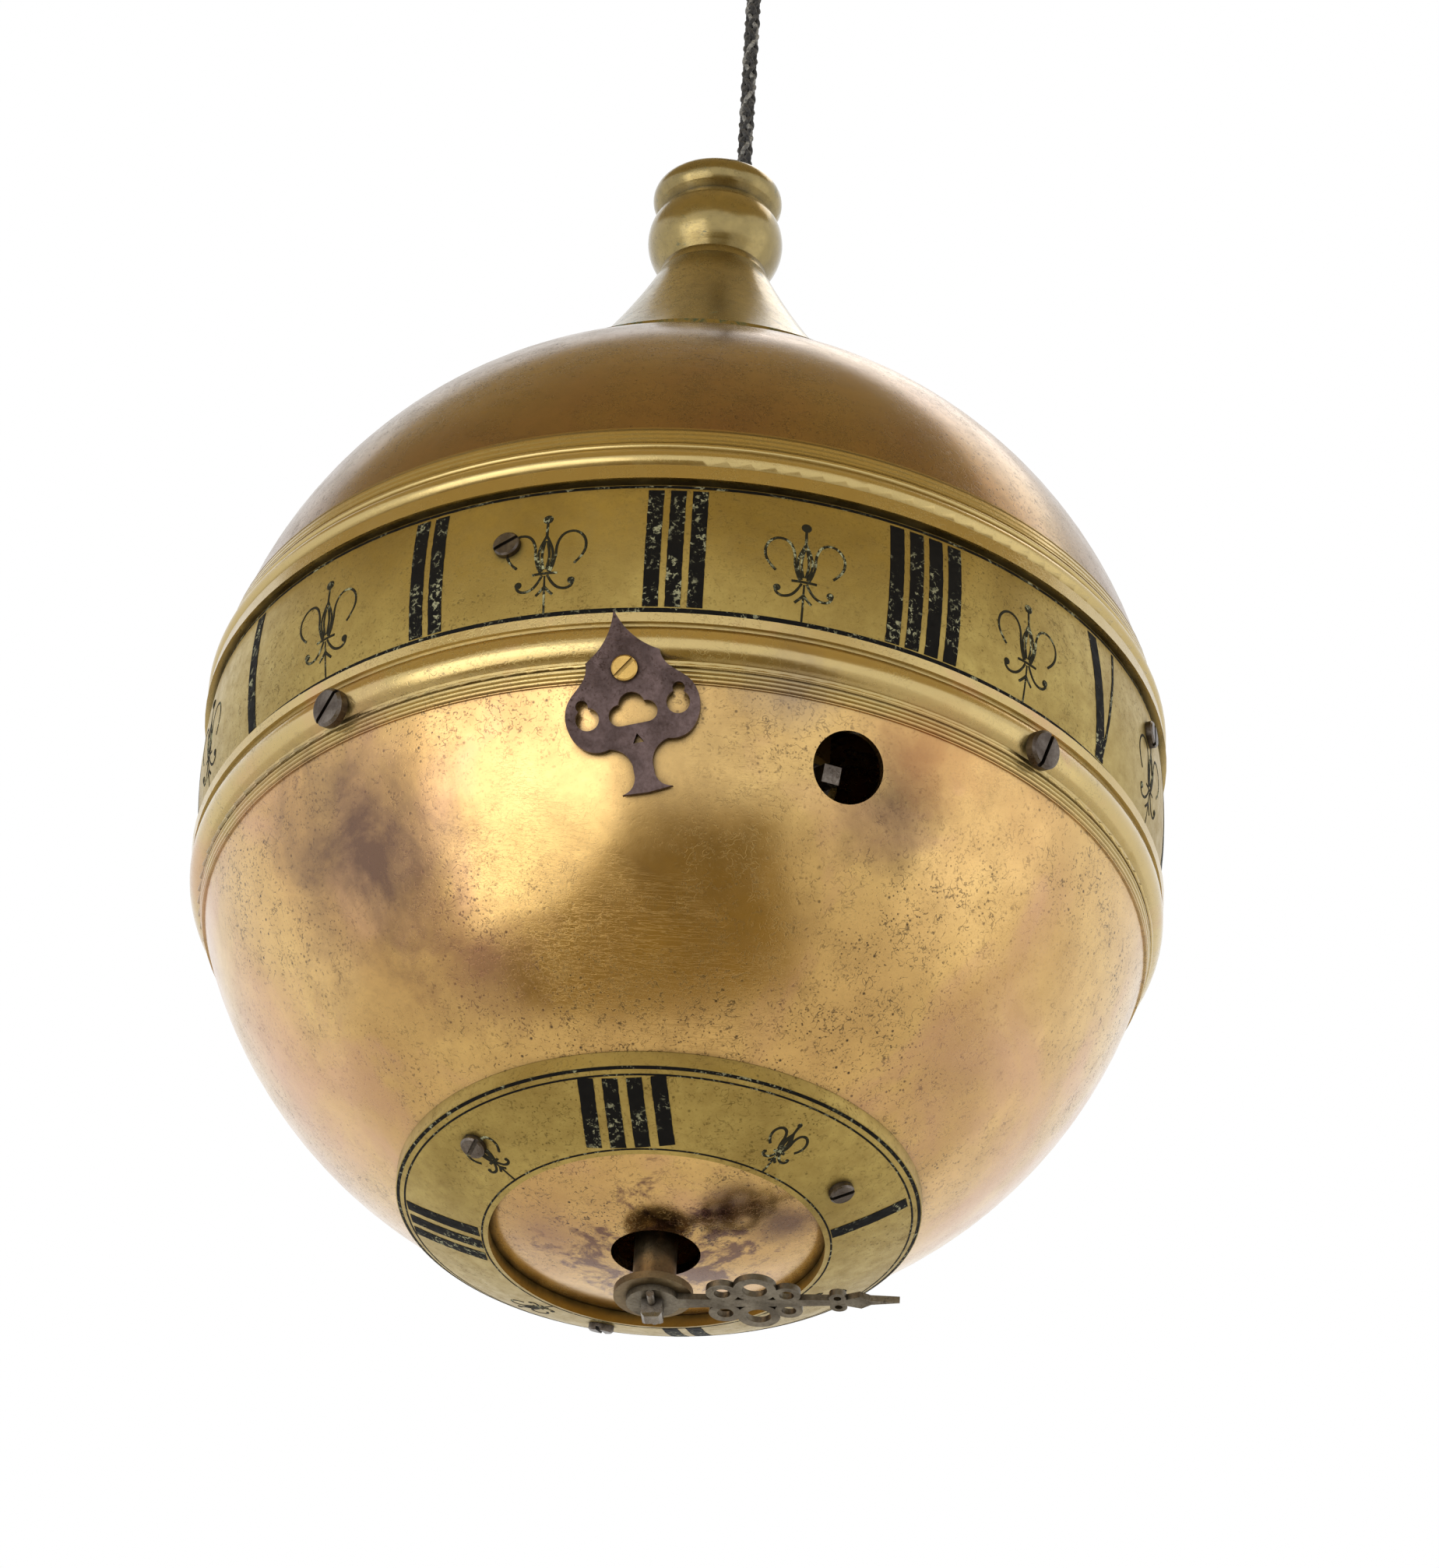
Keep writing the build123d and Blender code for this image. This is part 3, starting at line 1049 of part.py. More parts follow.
crown_wheel = disc(ESCAPE_R, ESCAPE_LOW, ESCAPE_LOW + ESCAPE_WEB, CROWN_ARBOR_R + FIT)
crown_wheel = crossed(
    crown_wheel, ESCAPE_R, 1.8, ESCAPE_R - 1.3, 4, ESCAPE_LOW, ESCAPE_LOW + ESCAPE_WEB
)
crown_wheel += disc(ESCAPE_R, ESCAPE_LOW + ESCAPE_WEB - 0.1, ESCAPE_TOP, ESCAPE_R - ESCAPE_WALL)
escape_step = 2 * math.pi * ESCAPE_R / ESCAPE_TEETH
notch_low = ESCAPE_LOW + ESCAPE_WEB + 0.5
notch = outline_face(
    [(0, notch_low), (escape_step * 0.9, ESCAPE_TOP + 0.1), (0, ESCAPE_TOP + 0.1)]
)
notch = Pos(ESCAPE_R - 2 * ESCAPE_WALL, 0, 0) * extrude(Plane.YZ * notch, 3 * ESCAPE_WALL)
crown_wheel -= [Rot(0, 0, k * 360 / ESCAPE_TEETH) * notch for k in range(ESCAPE_TEETH)]
save("crown_wheel", crown_axis * crown_wheel)

CROWN_FOOT_T = 1.6
crown_cock = bar(CHEEKS[0][0], CHEEKS[1][1], -CHEEK_HALF, CHEEK_HALF, TOP_PLATE - CROWN_FOOT_T, TOP_PLATE)
for near, far in CHEEKS:
    crown_cock += bar(near, far, -CHEEK_HALF, CHEEK_HALF, CROWN_Z - CHEEK_HALF + 0.2, TOP_PLATE)
crown_screw_at = contrate_spot + crown_way * contrate_r
crown_cock = Pos(contrate_spot.X, contrate_spot.Y, 0) * Rot(0, 0, CROWN_TURN) * crown_cock
crown_cock -= crown_axis * Cylinder(CROWN_ARBOR_R + RUN, 60)
crown_hole = disc(
    SMALL_SCREW[2] + FIT, TOP_PLATE - CROWN_FOOT_T - 1, TOP_TOP + 1, at=(crown_screw_at.X, crown_screw_at.Y)
)
crown_cock -= crown_hole
top_plate -= crown_hole
crown_seat = Pos(crown_screw_at.X, crown_screw_at.Y, TOP_TOP)
small_screws.append(crown_seat * screw(SMALL_SCREW, PLATE_T + CROWN_FOOT_T, 70))
save("crown_cock", crown_cock)

# Verge with its two pallets, balance wheel, balance spring and balance cock
VERGE_REACH = 20.0
VERGE_R = 1.0
VERGE_PIVOT = 0.5
PALLET_REACH = VERGE_REACH - ESCAPE_TOP - 0.2
PALLET_T = 0.5
PALLET_H = 1.5
PALLET_SPREAD = 50.0
BALANCE_R = 13.5
BALANCE_RIM = 1.2
BALANCE_LOW = 37.0
BALANCE_T = 1.2
BALANCE_COCK_LOW = 41.0
BALANCE_COCK_T = 2.0
BALANCE_COCK_TURN = 150.0
BALANCE_FOOT = (15.0, 20.0)
verge_spot = contrate_spot + crown_way * VERGE_REACH
verge_at = (verge_spot.X, verge_spot.Y)
verge = disc(VERGE_R, BOTTOM_TOP + RUN, BALANCE_COCK_LOW - RUN)
verge += disc(VERGE_PIVOT, BOTTOM_LOW, BALANCE_COCK_LOW + BALANCE_COCK_T)
for side in (-1, 1):
    pallet_z = CROWN_Z + side * (ESCAPE_R - ESCAPE_WALL / 2)
    pallet = bar(0, PALLET_REACH, -PALLET_T / 2, PALLET_T / 2, pallet_z - PALLET_H / 2, pallet_z + PALLET_H / 2)
    verge += Rot(0, 0, CROWN_TURN + 180 + side * PALLET_SPREAD) * pallet
verge = Pos(*verge_at, 0) * verge
save("verge", verge)

balance_wheel = disc(BALANCE_R, BALANCE_LOW, BALANCE_LOW + BALANCE_T, VERGE_R + FIT)
balance_wheel = crossed(
    balance_wheel, BALANCE_R, 2.4, BALANCE_R - BALANCE_RIM, 3, BALANCE_LOW, BALANCE_LOW + BALANCE_T
)
save("balance_wheel", Pos(*verge_at, 0) * balance_wheel)

HAIR_T = 0.2
HAIR_H = 0.6
HAIR_IN = 1.6
HAIR_OUT = 5.6
HAIR_TURNS = 4
HAIR_LOW = TOP_TOP + 1.1
STUD_POST_R = 0.8
balance_spring = spiral(HAIR_IN, HAIR_OUT, HAIR_TURNS, HAIR_T, HAIR_LOW, HAIR_LOW + HAIR_H, (0, 0))
balance_spring += disc(STUD_POST_R, TOP_TOP, HAIR_LOW + HAIR_H + 0.3, at=(HAIR_OUT, 0))
save("balance_spring", Pos(*verge_at, 0) * balance_spring)

cock_top = BALANCE_COCK_LOW + BALANCE_COCK_T
balance_cock = bar(0, BALANCE_FOOT[1], -3, 3, BALANCE_COCK_LOW, cock_top)
balance_cock += disc(3.5, BALANCE_COCK_LOW, cock_top)
balance_cock += bar(*BALANCE_FOOT, -3, 3, TOP_TOP, cock_top)
balance_cock -= disc(VERGE_PIVOT + RUN, BALANCE_COCK_LOW - 1, cock_top + 1)
foot_mid = sum(BALANCE_FOOT) / 2
balance_cock -= disc(SMALL_SCREW[2] + FIT, TOP_TOP - 1, cock_top + 1, at=(foot_mid, 0))
balance_cock = Pos(*verge_at, 0) * Rot(0, 0, BALANCE_COCK_TURN) * balance_cock
foot_spot = verge_spot + polar(foot_mid, BALANCE_COCK_TURN)
foot_seat = Pos(foot_spot.X, foot_spot.Y, cock_top)
small_screws.append(foot_seat * screw(SMALL_SCREW, cock_top - TOP_PLATE, 15))
save("balance_cock", balance_cock)

# Pivot and screw holes of the train in both plates
for at in (third_at, contrate_at):
    bottom_plate -= disc(PIVOT_R + RUN, BOTTOM_LOW - 1, BOTTOM_TOP + 1, at=at)
    top_plate -= disc(PIVOT_R + RUN, TOP_PLATE - 1, TOP_TOP + 1, at=at)
bottom_plate -= disc(VERGE_PIVOT + RUN, BOTTOM_LOW - 1, BOTTOM_TOP + 1, at=verge_at)
top_plate -= disc(VERGE_R + 0.3, TOP_PLATE - 1, TOP_TOP + 1, at=verge_at)
top_plate -= disc(SMALL_SCREW[2] + FIT, TOP_PLATE - 1, TOP_TOP + 1, at=(foot_spot.X, foot_spot.Y))

save("small_screws", Compound(small_screws))
save("bottom_plate", bottom_plate)
save("top_plate", top_plate)
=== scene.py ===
# %% [markdown]
# The ball clock, dressed for its picture.
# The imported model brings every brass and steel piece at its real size. This script adds what a
# drawing of solids leaves out: the braided cord, the numerals and the lilies cut into the band
# and the dial, and the worn finish of each metal. It starts by loading the model as a frame.

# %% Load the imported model
import json
import math
import bpy
import bmesh
from mathutils import Matrix, Vector, noise

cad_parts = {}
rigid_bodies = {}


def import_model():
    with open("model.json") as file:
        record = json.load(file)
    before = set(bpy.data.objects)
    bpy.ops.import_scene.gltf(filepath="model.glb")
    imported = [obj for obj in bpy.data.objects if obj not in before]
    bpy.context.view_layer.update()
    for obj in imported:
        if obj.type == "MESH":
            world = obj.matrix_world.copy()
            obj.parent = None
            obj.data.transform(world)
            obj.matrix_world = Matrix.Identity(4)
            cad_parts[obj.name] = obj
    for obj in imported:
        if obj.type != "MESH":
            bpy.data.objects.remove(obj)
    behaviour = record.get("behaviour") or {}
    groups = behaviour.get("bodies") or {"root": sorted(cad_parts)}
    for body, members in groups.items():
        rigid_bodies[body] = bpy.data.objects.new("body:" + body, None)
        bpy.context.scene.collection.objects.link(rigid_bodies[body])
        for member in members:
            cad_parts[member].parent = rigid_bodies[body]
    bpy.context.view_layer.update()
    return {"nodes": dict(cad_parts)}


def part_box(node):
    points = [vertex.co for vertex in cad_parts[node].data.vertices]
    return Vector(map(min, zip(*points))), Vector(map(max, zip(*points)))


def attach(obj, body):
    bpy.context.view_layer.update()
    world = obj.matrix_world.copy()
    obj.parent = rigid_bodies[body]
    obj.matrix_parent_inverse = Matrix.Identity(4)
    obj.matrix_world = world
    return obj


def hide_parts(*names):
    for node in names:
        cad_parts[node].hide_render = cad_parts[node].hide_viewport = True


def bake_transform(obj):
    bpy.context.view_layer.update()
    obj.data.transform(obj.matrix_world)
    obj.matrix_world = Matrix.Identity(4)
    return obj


for leftover in list(bpy.data.objects):
    bpy.data.objects.remove(leftover)
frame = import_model()
scene = bpy.context.scene
scene.view_settings.view_transform = "Standard"
print("pieces in the frame:", len(frame["nodes"]))

# %% [markdown]
# Everything round the ball is placed by an azimuth, counted from the front towards the right,
# and by real millimetres. The ball's axis, the band's radius and the dial's size are read from
# the frame, so that the cut decoration stays on its surface when the model's size changes.

# %% Measures of the ball
MM = 0.001


def middle_of(node):
    low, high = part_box(node)
    return (low + high) / 2


band_low, band_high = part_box("hour_band")
dome_low, dome_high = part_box("lower_dome")
ball = middle_of("hour_band")
band_radius = (band_high.x - band_low.x) / 2
band_half = (band_high.z - band_low.z) / 2
print("ball axis at x", round(ball.x / MM, 2), "mm, band radius", round(band_radius / MM, 2), "mm")


def around(azimuth):
    """The level direction at an azimuth, from the front towards the right."""
    angle = math.radians(azimuth)
    return Vector((math.sin(angle), -math.cos(angle), 0))


# %% [markdown]
# The photograph looks up at the ball from below, from about a metre away through a long lens.
# The camera is turned a little on its own axis too, which is why the cord leans in the picture.
# Its place was found by fitting the ball's outline, the numerals and the screws.

# %% Camera
CAMERA_DISTANCE = 1.1519
CAMERA_ELEVATION = math.radians(32.9527)
CAMERA_ROLL = math.radians(3.3798)
LENS = 223.03
SENSOR = 36.0
AIM_BELOW_BAND = 4.24 * MM
PICTURE = Vector((1848, 2014))
AIM_AT = Vector((872.57, 1093.17))
NEAR_LIMIT = 0.05
FAR_LIMIT = 20.0

aim = Vector((ball.x, 0, ball.z - AIM_BELOW_BAND))
back = Vector((0, -math.cos(CAMERA_ELEVATION), -math.sin(CAMERA_ELEVATION)))
ahead = -back
right = Vector((1, 0, 0))
up = right.cross(ahead)
level = Matrix((right, -up, ahead))
turn, lean = math.cos(CAMERA_ROLL), math.sin(CAMERA_ROLL)
rolled = Matrix(((turn, -lean, 0), (lean, turn, 0), (0, 0, 1)))
pixels = LENS / SENSOR * max(PICTURE)
off = (AIM_AT - PICTURE / 2) / pixels
swing = Vector((0, 0, 1)).rotation_difference(Vector((off.x, off.y, 1))).to_matrix()
rows = swing @ rolled @ level

camera = bpy.data.objects.new("camera", bpy.data.cameras.new("camera"))
scene.collection.objects.link(camera)
camera.data.sensor_width = SENSOR
camera.data.lens = LENS
camera.data.clip_start = NEAR_LIMIT
camera.data.clip_end = FAR_LIMIT
axes = Matrix((rows[0], -rows[1], -rows[2])).transposed()
camera.matrix_world = Matrix.Translation(aim + back * CAMERA_DISTANCE) @ axes.to_4x4()
scene.camera = camera
print("camera at", [round(c, 3) for c in camera.location])

# %% [markdown]
# The room and every finish are made of shader nodes. A few short helpers add a node, link what
# feeds it and hand back the socket that the next node needs, so a finish reads like a recipe.

# %% Small helpers for shader nodes


def srgb(red, green, blue):
    """A colour from its screen values, as the linear numbers that shaders use."""
    def linear(v):
        v = v / 255
        return v / 12.92 if v <= 0.04045 else ((v + 0.055) / 1.055) ** 2.4
    return (linear(red), linear(green), linear(blue), 1.0)


def put(tree, kind, settings=None, **sockets):
    """Adds a shader node. A socket is given by its name, with _ for a space, or as in0, in1, ..."""
    node = tree.nodes.new("ShaderNode" + kind)
    for key, value in (settings or {}).items():
        setattr(node, key, value)
    for key, value in sockets.items():
        plain = key.replace("_", " ")
        socket = node.inputs[int(key[2:])] if key[2:].isdigit() else node.inputs[plain]
        if isinstance(value, bpy.types.NodeSocket):
            tree.links.new(value, socket)
        else:
            socket.default_value = value
    return node


def sums(tree, operation, a, b=0.0, clamp=False):
    settings = {"operation": operation, "use_clamp": clamp}
    return put(tree, "Math", settings, in0=a, in1=b).outputs[0]


def blend_colours(tree, share, a, b):
    node = put(tree, "Mix", {"data_type": "RGBA"}, in0=share, in6=a, in7=b)
    return node.outputs[2]


def between(tree, value, low, high, to_low=0.0, to_high=1.0):
    """Stretches the part of a value from low to high over a new range, and clips the rest."""
    node = put(tree, "MapRange", None, in0=value, in1=low, in2=high, in3=to_low, in4=to_high)
    return node.outputs[0]


def cloud(tree, place, scale, detail=3.0, rough=0.5, twist=0.0):
    node = put(
        tree, "TexNoise", None,
        Vector=place, Scale=scale, Detail=detail, Roughness=rough, Distortion=twist,
    )
    return node.outputs[0]


print("helpers ready, mid grey is", round(srgb(128, 128, 128)[0], 3), "to a shader")

# %% [markdown]
# Polished brass has no colour of its own to speak of: it shows the room. So the room matters as
# much as the metal. It is white where the camera or a reflection looks, and a little weaker and
# warmer as a light, so that the shaded side keeps its depth.

# %% World: white to the camera and to the metal
WHITE = (1, 1, 1, 1)
WARM_WHITE = (1, 0.98, 0.95, 1)
SOFT_LIGHT = 0.8

world = bpy.data.worlds.new("studio")
scene.world = world
world.use_nodes = True
air = world.node_tree
air.nodes.clear()
rays = put(air, "LightPath")
seen = sums(air, "MAXIMUM", rays.outputs["Is Camera Ray"], rays.outputs["Is Glossy Ray"])
seen = sums(air, "MAXIMUM", seen, rays.outputs["Is Transmission Ray"])
white = put(air, "Background", None, Color=WHITE, Strength=1.0)
soft = put(air, "Background", None, Color=WARM_WHITE, Strength=SOFT_LIGHT)
choice = put(air, "MixShader", None, in0=seen, in1=soft.outputs[0], in2=white.outputs[0])
put(air, "OutputWorld", None, Surface=choice.outputs[0])
print("world ready")

# %% [markdown]
# Three soft boxes light the ball. A large one at the front left, a little below the ball, makes
# the broad glow on the lower dome. A narrow warm one above and behind draws the edge of the upper
# dome, and a tall weak one at the right keeps the shaded side from going black.

# %% Lamps


def lamp(name, direction, distance, width, height, power, colour=(1, 1, 1)):
    """A soft box that faces the ball from a direction."""
    light = bpy.data.lights.new(name, "AREA")
    light.shape = "RECTANGLE"
    light.size, light.size_y = width, height
    light.energy = power
    light.color = colour
    holder = bpy.data.objects.new(name, light)
    scene.collection.objects.link(holder)
    away = Vector(direction).normalized()
    holder.location = ball + away * distance
    holder.rotation_mode = "QUATERNION"
    holder.rotation_quaternion = away.to_track_quat("Z", "Y")
    return holder


lamp("key_left", (-0.60, -0.72, -0.32), distance=1.7, width=1.40, height=1.55, power=11.0)
lamp(
    "top_right_back", (0.34, 0.44, 0.83), distance=1.8, width=1.4, height=0.4, power=1.9,
    colour=(1, 0.90, 0.80),
)
lamp("side_right", (0.97, -0.20, -0.14), distance=1.8, width=1.0, height=1.6, power=1.4)

# %% [markdown]
# The brass mirrors what stands round it too: a pale floor far below, a brown ceiling over the
# front, and a dark screen in front of the ball and below it. The camera may see the floor. The
# ceiling and the screen are hidden from it and only show in the metal.

# %% Floor, ceiling and the dark screen
FLOOR_Z = -2.0
CEILING_AT = Vector((-0.2, -0.75, 1.45))
CEILING_FACES = (0.05, 0.25, -1)
SCREEN_WAY = Vector((-0.12, -0.62, -0.78)).normalized()
SCREEN_DISTANCE = 1.75


def plain_finish(name, colour, roughness=0.8):
    material = bpy.data.materials.new(name)
    material.use_nodes = True
    shader = material.node_tree.nodes["Principled BSDF"]
    shader.inputs["Base Color"].default_value = colour
    shader.inputs["Roughness"].default_value = roughness
    return material


def card(name, centre, direction, width, height, material, seen_by_camera=False):
    """A flat panel of the studio, facing the ball."""
    shape = bmesh.new()
    bmesh.ops.create_grid(shape, x_segments=1, y_segments=1, size=0.5)
    bmesh.ops.scale(shape, vec=(width, height, 1), verts=shape.verts)
    facing = Vector(direction).normalized().to_track_quat("Z", "Y").to_matrix().to_4x4()
    bmesh.ops.transform(shape, matrix=Matrix.Translation(centre) @ facing, verts=shape.verts)
    mesh = bpy.data.meshes.new(name)
    shape.to_mesh(mesh)
    shape.free()
    mesh.materials.append(material)
    panel = bpy.data.objects.new(name, mesh)
    scene.collection.objects.link(panel)
    panel.visible_camera = seen_by_camera
    return panel


pale = plain_finish("pale_floor", srgb(250, 248, 244))
brown = plain_finish("brown_ceiling", srgb(204, 184, 134))
dark = plain_finish("dark_screen", srgb(154, 138, 92))
card(
    "floor", Vector((0, 0, FLOOR_Z)), (0, 0, 1), width=9, height=9, material=pale,
    seen_by_camera=True,
)
card("ceiling", CEILING_AT, CEILING_FACES, width=5.0, height=3.6, material=brown)
card("screen", ball + SCREEN_WAY * SCREEN_DISTANCE, -SCREEN_WAY, width=2.3, height=1.5, material=dark)
print("stage ready")

# %% [markdown]
# The cord is a braid of thin black strands with a few grey ones among them. Its route is a short
# straight run, because the ball's weight keeps it taut. The route is drawn as a smooth curve, and
# its points are read back for the strands to wind round.

# %% Cord: the route
CORD_THICK = 2.0 * MM
STRANDS_EACH_WAY = 4
TURN_LENGTH = 8.0 * MM
STRAND_THICK = 0.62 * MM
OVER_UNDER = 0.12 * MM
STEP = 0.25 * MM

cord_low, cord_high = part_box("cord_hanging")
cord_axis = middle_of("cord_hanging")
bottom = Vector((cord_axis.x, cord_axis.y, cord_low.z))
top = Vector((cord_axis.x, cord_axis.y, cord_high.z))


def smooth_line(name, points):
    """A curve object of one smooth line through its control points."""
    curve = bpy.data.curves.new(name, "CURVE")
    curve.dimensions = "3D"
    line = curve.splines.new("NURBS")
    line.points.add(len(points) - 1)
    for spot, point in zip(line.points, points):
        spot.co = (*point, 1)
    line.order_u = 3
    line.use_endpoint_u = True
    curve.resolution_u = 12
    thing = bpy.data.objects.new(name, curve)
    scene.collection.objects.link(thing)
    return thing


def mesh_of(thing):
    """The mesh that a curve object makes. The curve is removed."""
    bpy.context.view_layer.update()
    shaped = thing.evaluated_get(bpy.context.evaluated_depsgraph_get())
    mesh = bpy.data.meshes.new_from_object(shaped)
    bpy.data.objects.remove(thing)
    return mesh


ROUTE_POINTS = 5
route_controls = [bottom.lerp(top, k / (ROUTE_POINTS - 1)) for k in range(ROUTE_POINTS)]
route = smooth_line("cord_route", route_controls)
route_points = sorted((v.co.copy() for v in mesh_of(route).vertices), key=lambda p: p.z)
cord_length = sum((b - a).length for a, b in zip(route_points, route_points[1:]))
print("cord route", round(cord_length / MM, 2), "mm in", len(route_points), "points")

# %% [markdown]
# Half of the strands wind one way round the route and half the other way. Each swings out and in
# as it goes, so that it passes over and under the strands that cross it. One strand each way is
# grey, and it has the second material slot.

# %% Cord: the strands
BLACK_SLOT, GREY_SLOT = 0, 1
GREY_STRAND = 0
middle_radius = (CORD_THICK - STRAND_THICK) / 2 - OVER_UNDER


def along(points, far):
    """The point at a distance along a line of points."""
    for a, b in zip(points, points[1:]):
        step = (b - a).length
        if far <= step or b is points[-1]:
            return a.lerp(b, min(far / step, 1.0)) if step > 0 else a
        far -= step
    return points[-1]


def strand(number, way):
    """One strand of the braid, as a round curve that winds one way round the route."""
    start = 2 * math.pi * number / STRANDS_EACH_WAY
    count = int(cord_length / STEP)
    points = []
    for k in range(count + 1):
        far = cord_length * k / count
        angle = start + way * 2 * math.pi * far / TURN_LENGTH
        crossing = 2 * math.pi * STRANDS_EACH_WAY * far / TURN_LENGTH + math.pi * number
        radius = middle_radius + way * OVER_UNDER * math.cos(crossing)
        outwards = Vector((math.cos(angle), math.sin(angle), 0))
        points.append(along(route_points, far) + outwards * radius)
    thing = smooth_line("strand", points)
    thing.data.bevel_depth = STRAND_THICK / 2
    thing.data.bevel_resolution = 2
    thing.data.use_fill_caps = True
    thing.data.resolution_u = 2
    return thing


braid = bmesh.new()
for way in (-1, 1):
    for number in range(STRANDS_EACH_WAY):
        first = len(braid.faces)
        braid.from_mesh(mesh_of(strand(number, way)))
        braid.faces.ensure_lookup_table()
        slot = GREY_SLOT if number == GREY_STRAND else BLACK_SLOT
        for face in braid.faces[first:]:
            face.material_index = slot
            face.smooth = True
bmesh.ops.recalc_face_normals(braid, faces=braid.faces)
cord_mesh = bpy.data.meshes.new("braided_cord")
braid.to_mesh(cord_mesh)
braid.free()
cord = bpy.data.objects.new("braided_cord", cord_mesh)
scene.collection.objects.link(cord)
print("cord faces:", len(cord_mesh.polygons))

# %% [markdown]
# Decoration on a round surface is drawn flat first, in millimetres, and then laid on the ball.
# A flat point has a distance to the side, a height and a rise above the metal. On the band the
# height runs up the ball. On the dial, which looks down, it runs outwards from the middle.

# %% Laying a flat drawing on the band and on the dial
RISE = 0.04 * MM
DEEP = 0.10 * MM
EDGE_ZONE = 0.2 * MM


def dial_ball():
    """Radius and centre height of the sphere under the dial's face, and the ring's two radii."""
    corners = [v.co for v in frame["nodes"]["quarter_dial"].data.vertices]

    def level_r(p):
        return math.hypot(p.x - ball.x, p.y)

    inner_r = min(level_r(p) for p in corners)
    inner_z = min(p.z for p in corners if level_r(p) < inner_r + EDGE_ZONE)
    outer_r = max(level_r(p) for p in corners)
    outer_z = min(p.z for p in corners if level_r(p) > outer_r - EDGE_ZONE)
    rise = outer_z - inner_z
    drop = (outer_r**2 - inner_r**2 + rise**2) / (2 * rise)
    return math.hypot(drop, inner_r), inner_z + drop, inner_r, outer_r


dial_radius, dial_height, dial_in, dial_out = dial_ball()
print("dial sphere", round(dial_radius / MM, 2), "mm")
print("dial ring", round(dial_in / MM, 2), "to", round(dial_out / MM, 2), "mm")


def on_band(azimuth, flat):
    """A point of the band from (side, height, rise) about an azimuth."""
    across = azimuth + math.degrees(flat.x / band_radius)
    lift = math.asin(max(-1, min(1, flat.y / band_radius)))
    ray = around(across) * math.cos(lift) + Vector((0, 0, math.sin(lift)))
    return ball + (band_radius + flat.z) * ray


def on_dial(azimuth, flat):
    """A point of the dial from (side, distance from the middle, rise) about an azimuth."""
    spin = azimuth - math.degrees(math.atan2(flat.x, flat.y))
    out = math.hypot(flat.x, flat.y)
    down = math.sqrt(dial_radius**2 - out**2)
    ray = (around(spin) * out - Vector((0, 0, down))) / dial_radius
    return Vector((ball.x, 0, dial_height)) + ray * (dial_radius + flat.z)


# %% [markdown]
# A numeral is a few thick strokes cut side by side, filled with black wax. Each stroke starts as
# a flat grid with enough rows to bend with the ball. The cutter's hand is never quite steady, so
# the edges waver a little. Full strokes are thick, and the rising stroke of a V or an X is thin.

# %% Strokes of the numerals
STROKE = 1.8 * MM
THIN = 0.45 * MM
PITCH = 2.56 * MM
WAVER = 0.07 * MM
WAVES_APART, WAVES_ACROSS, WAVES_ALONG, WAVES_LAYER = 900, 9, 1400, 3.1
STROKE_COLUMNS, STROKE_ROWS = 3, 26


def stroke(drawing, at_low, at_high, width, low, high):
    """One stroke of a numeral: a flat grid between two heights, which may lean."""
    made = bmesh.ops.create_grid(drawing, x_segments=STROKE_COLUMNS, y_segments=STROKE_ROWS, size=0.5)
    for v in made["verts"]:
        share = v.co.y + 0.5
        y = low + (high - low) * share
        wave_at = at_low * WAVES_APART + v.co.x * WAVES_ACROSS
        edge = noise.noise(Vector((wave_at, y * WAVES_ALONG, WAVES_LAYER))) * WAVER
        x = at_low + (at_high - at_low) * share + v.co.x * width + edge
        v.co = Vector((x, y, RISE))


# Each letter: its width in pitches, and its strokes as where the foot and the head stand, in
# pitches from the letter's middle, and how thick the stroke is.
STROKES = {
    "I": (1, ((0, 0, STROKE),)),
    "V": (2.4, ((0.0, -1.0, STROKE), (0.15, 0.95, THIN))),
    "X": (2.6, ((0.95, -0.95, STROKE), (-0.95, 0.95, THIN))),
}


def numeral(drawing, letters, low, high, pitch):
    """A Roman numeral about the middle, with its strokes a pitch apart."""
    widths = [STROKES[letter][0] * pitch for letter in letters]
    place = -sum(widths) / 2
    for letter, width in zip(letters, widths):
        centre = place + width / 2
        for foot, head, thick in STROKES[letter][1]:
            stroke(drawing, centre + foot * pitch, centre + head * pitch, thick, low, high)
        place += width


def slab(drawing):
    """Gives a flat drawing its thickness, down into the metal."""
    made = bmesh.ops.extrude_face_region(drawing, geom=list(drawing.faces))
    sunk = [part for part in made["geom"] if isinstance(part, bmesh.types.BMVert)]
    bmesh.ops.translate(drawing, vec=(0, 0, -DEEP), verts=sunk)


print("letters that can be cut:", ", ".join(STROKES))

# %% [markdown]
# A finished drawing is laid on the ball as a piece of its own. It rides with the band or with the
# case, and it gets the material of its filling.

# %% A drawing as a piece


def lay(name, body, draw, surface, azimuth, material):
    """Draws flat, lays the drawing on a surface as a piece, and lets it ride with a body."""
    drawing = bmesh.new()
    draw(drawing)
    for v in drawing.verts:
        v.co = surface(azimuth, v.co)
    bmesh.ops.recalc_face_normals(drawing, faces=drawing.faces)
    mesh = bpy.data.meshes.new(name)
    drawing.to_mesh(mesh)
    drawing.free()
    mesh.materials.append(material)
    piece = bpy.data.objects.new(name, mesh)
    scene.collection.objects.link(piece)
    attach(piece, body)
    return piece


print("a drawing can be laid on the band or on the dial")

# %% [markdown]
# Between the hours stands a lily, cut in thin lines: a bud on a stalk, a pointed middle leaf, two
# side leaves that bend over, a collar, and two curls below that end in dots. Half of it is drawn
# as smooth lines and the other half is its mirror image.

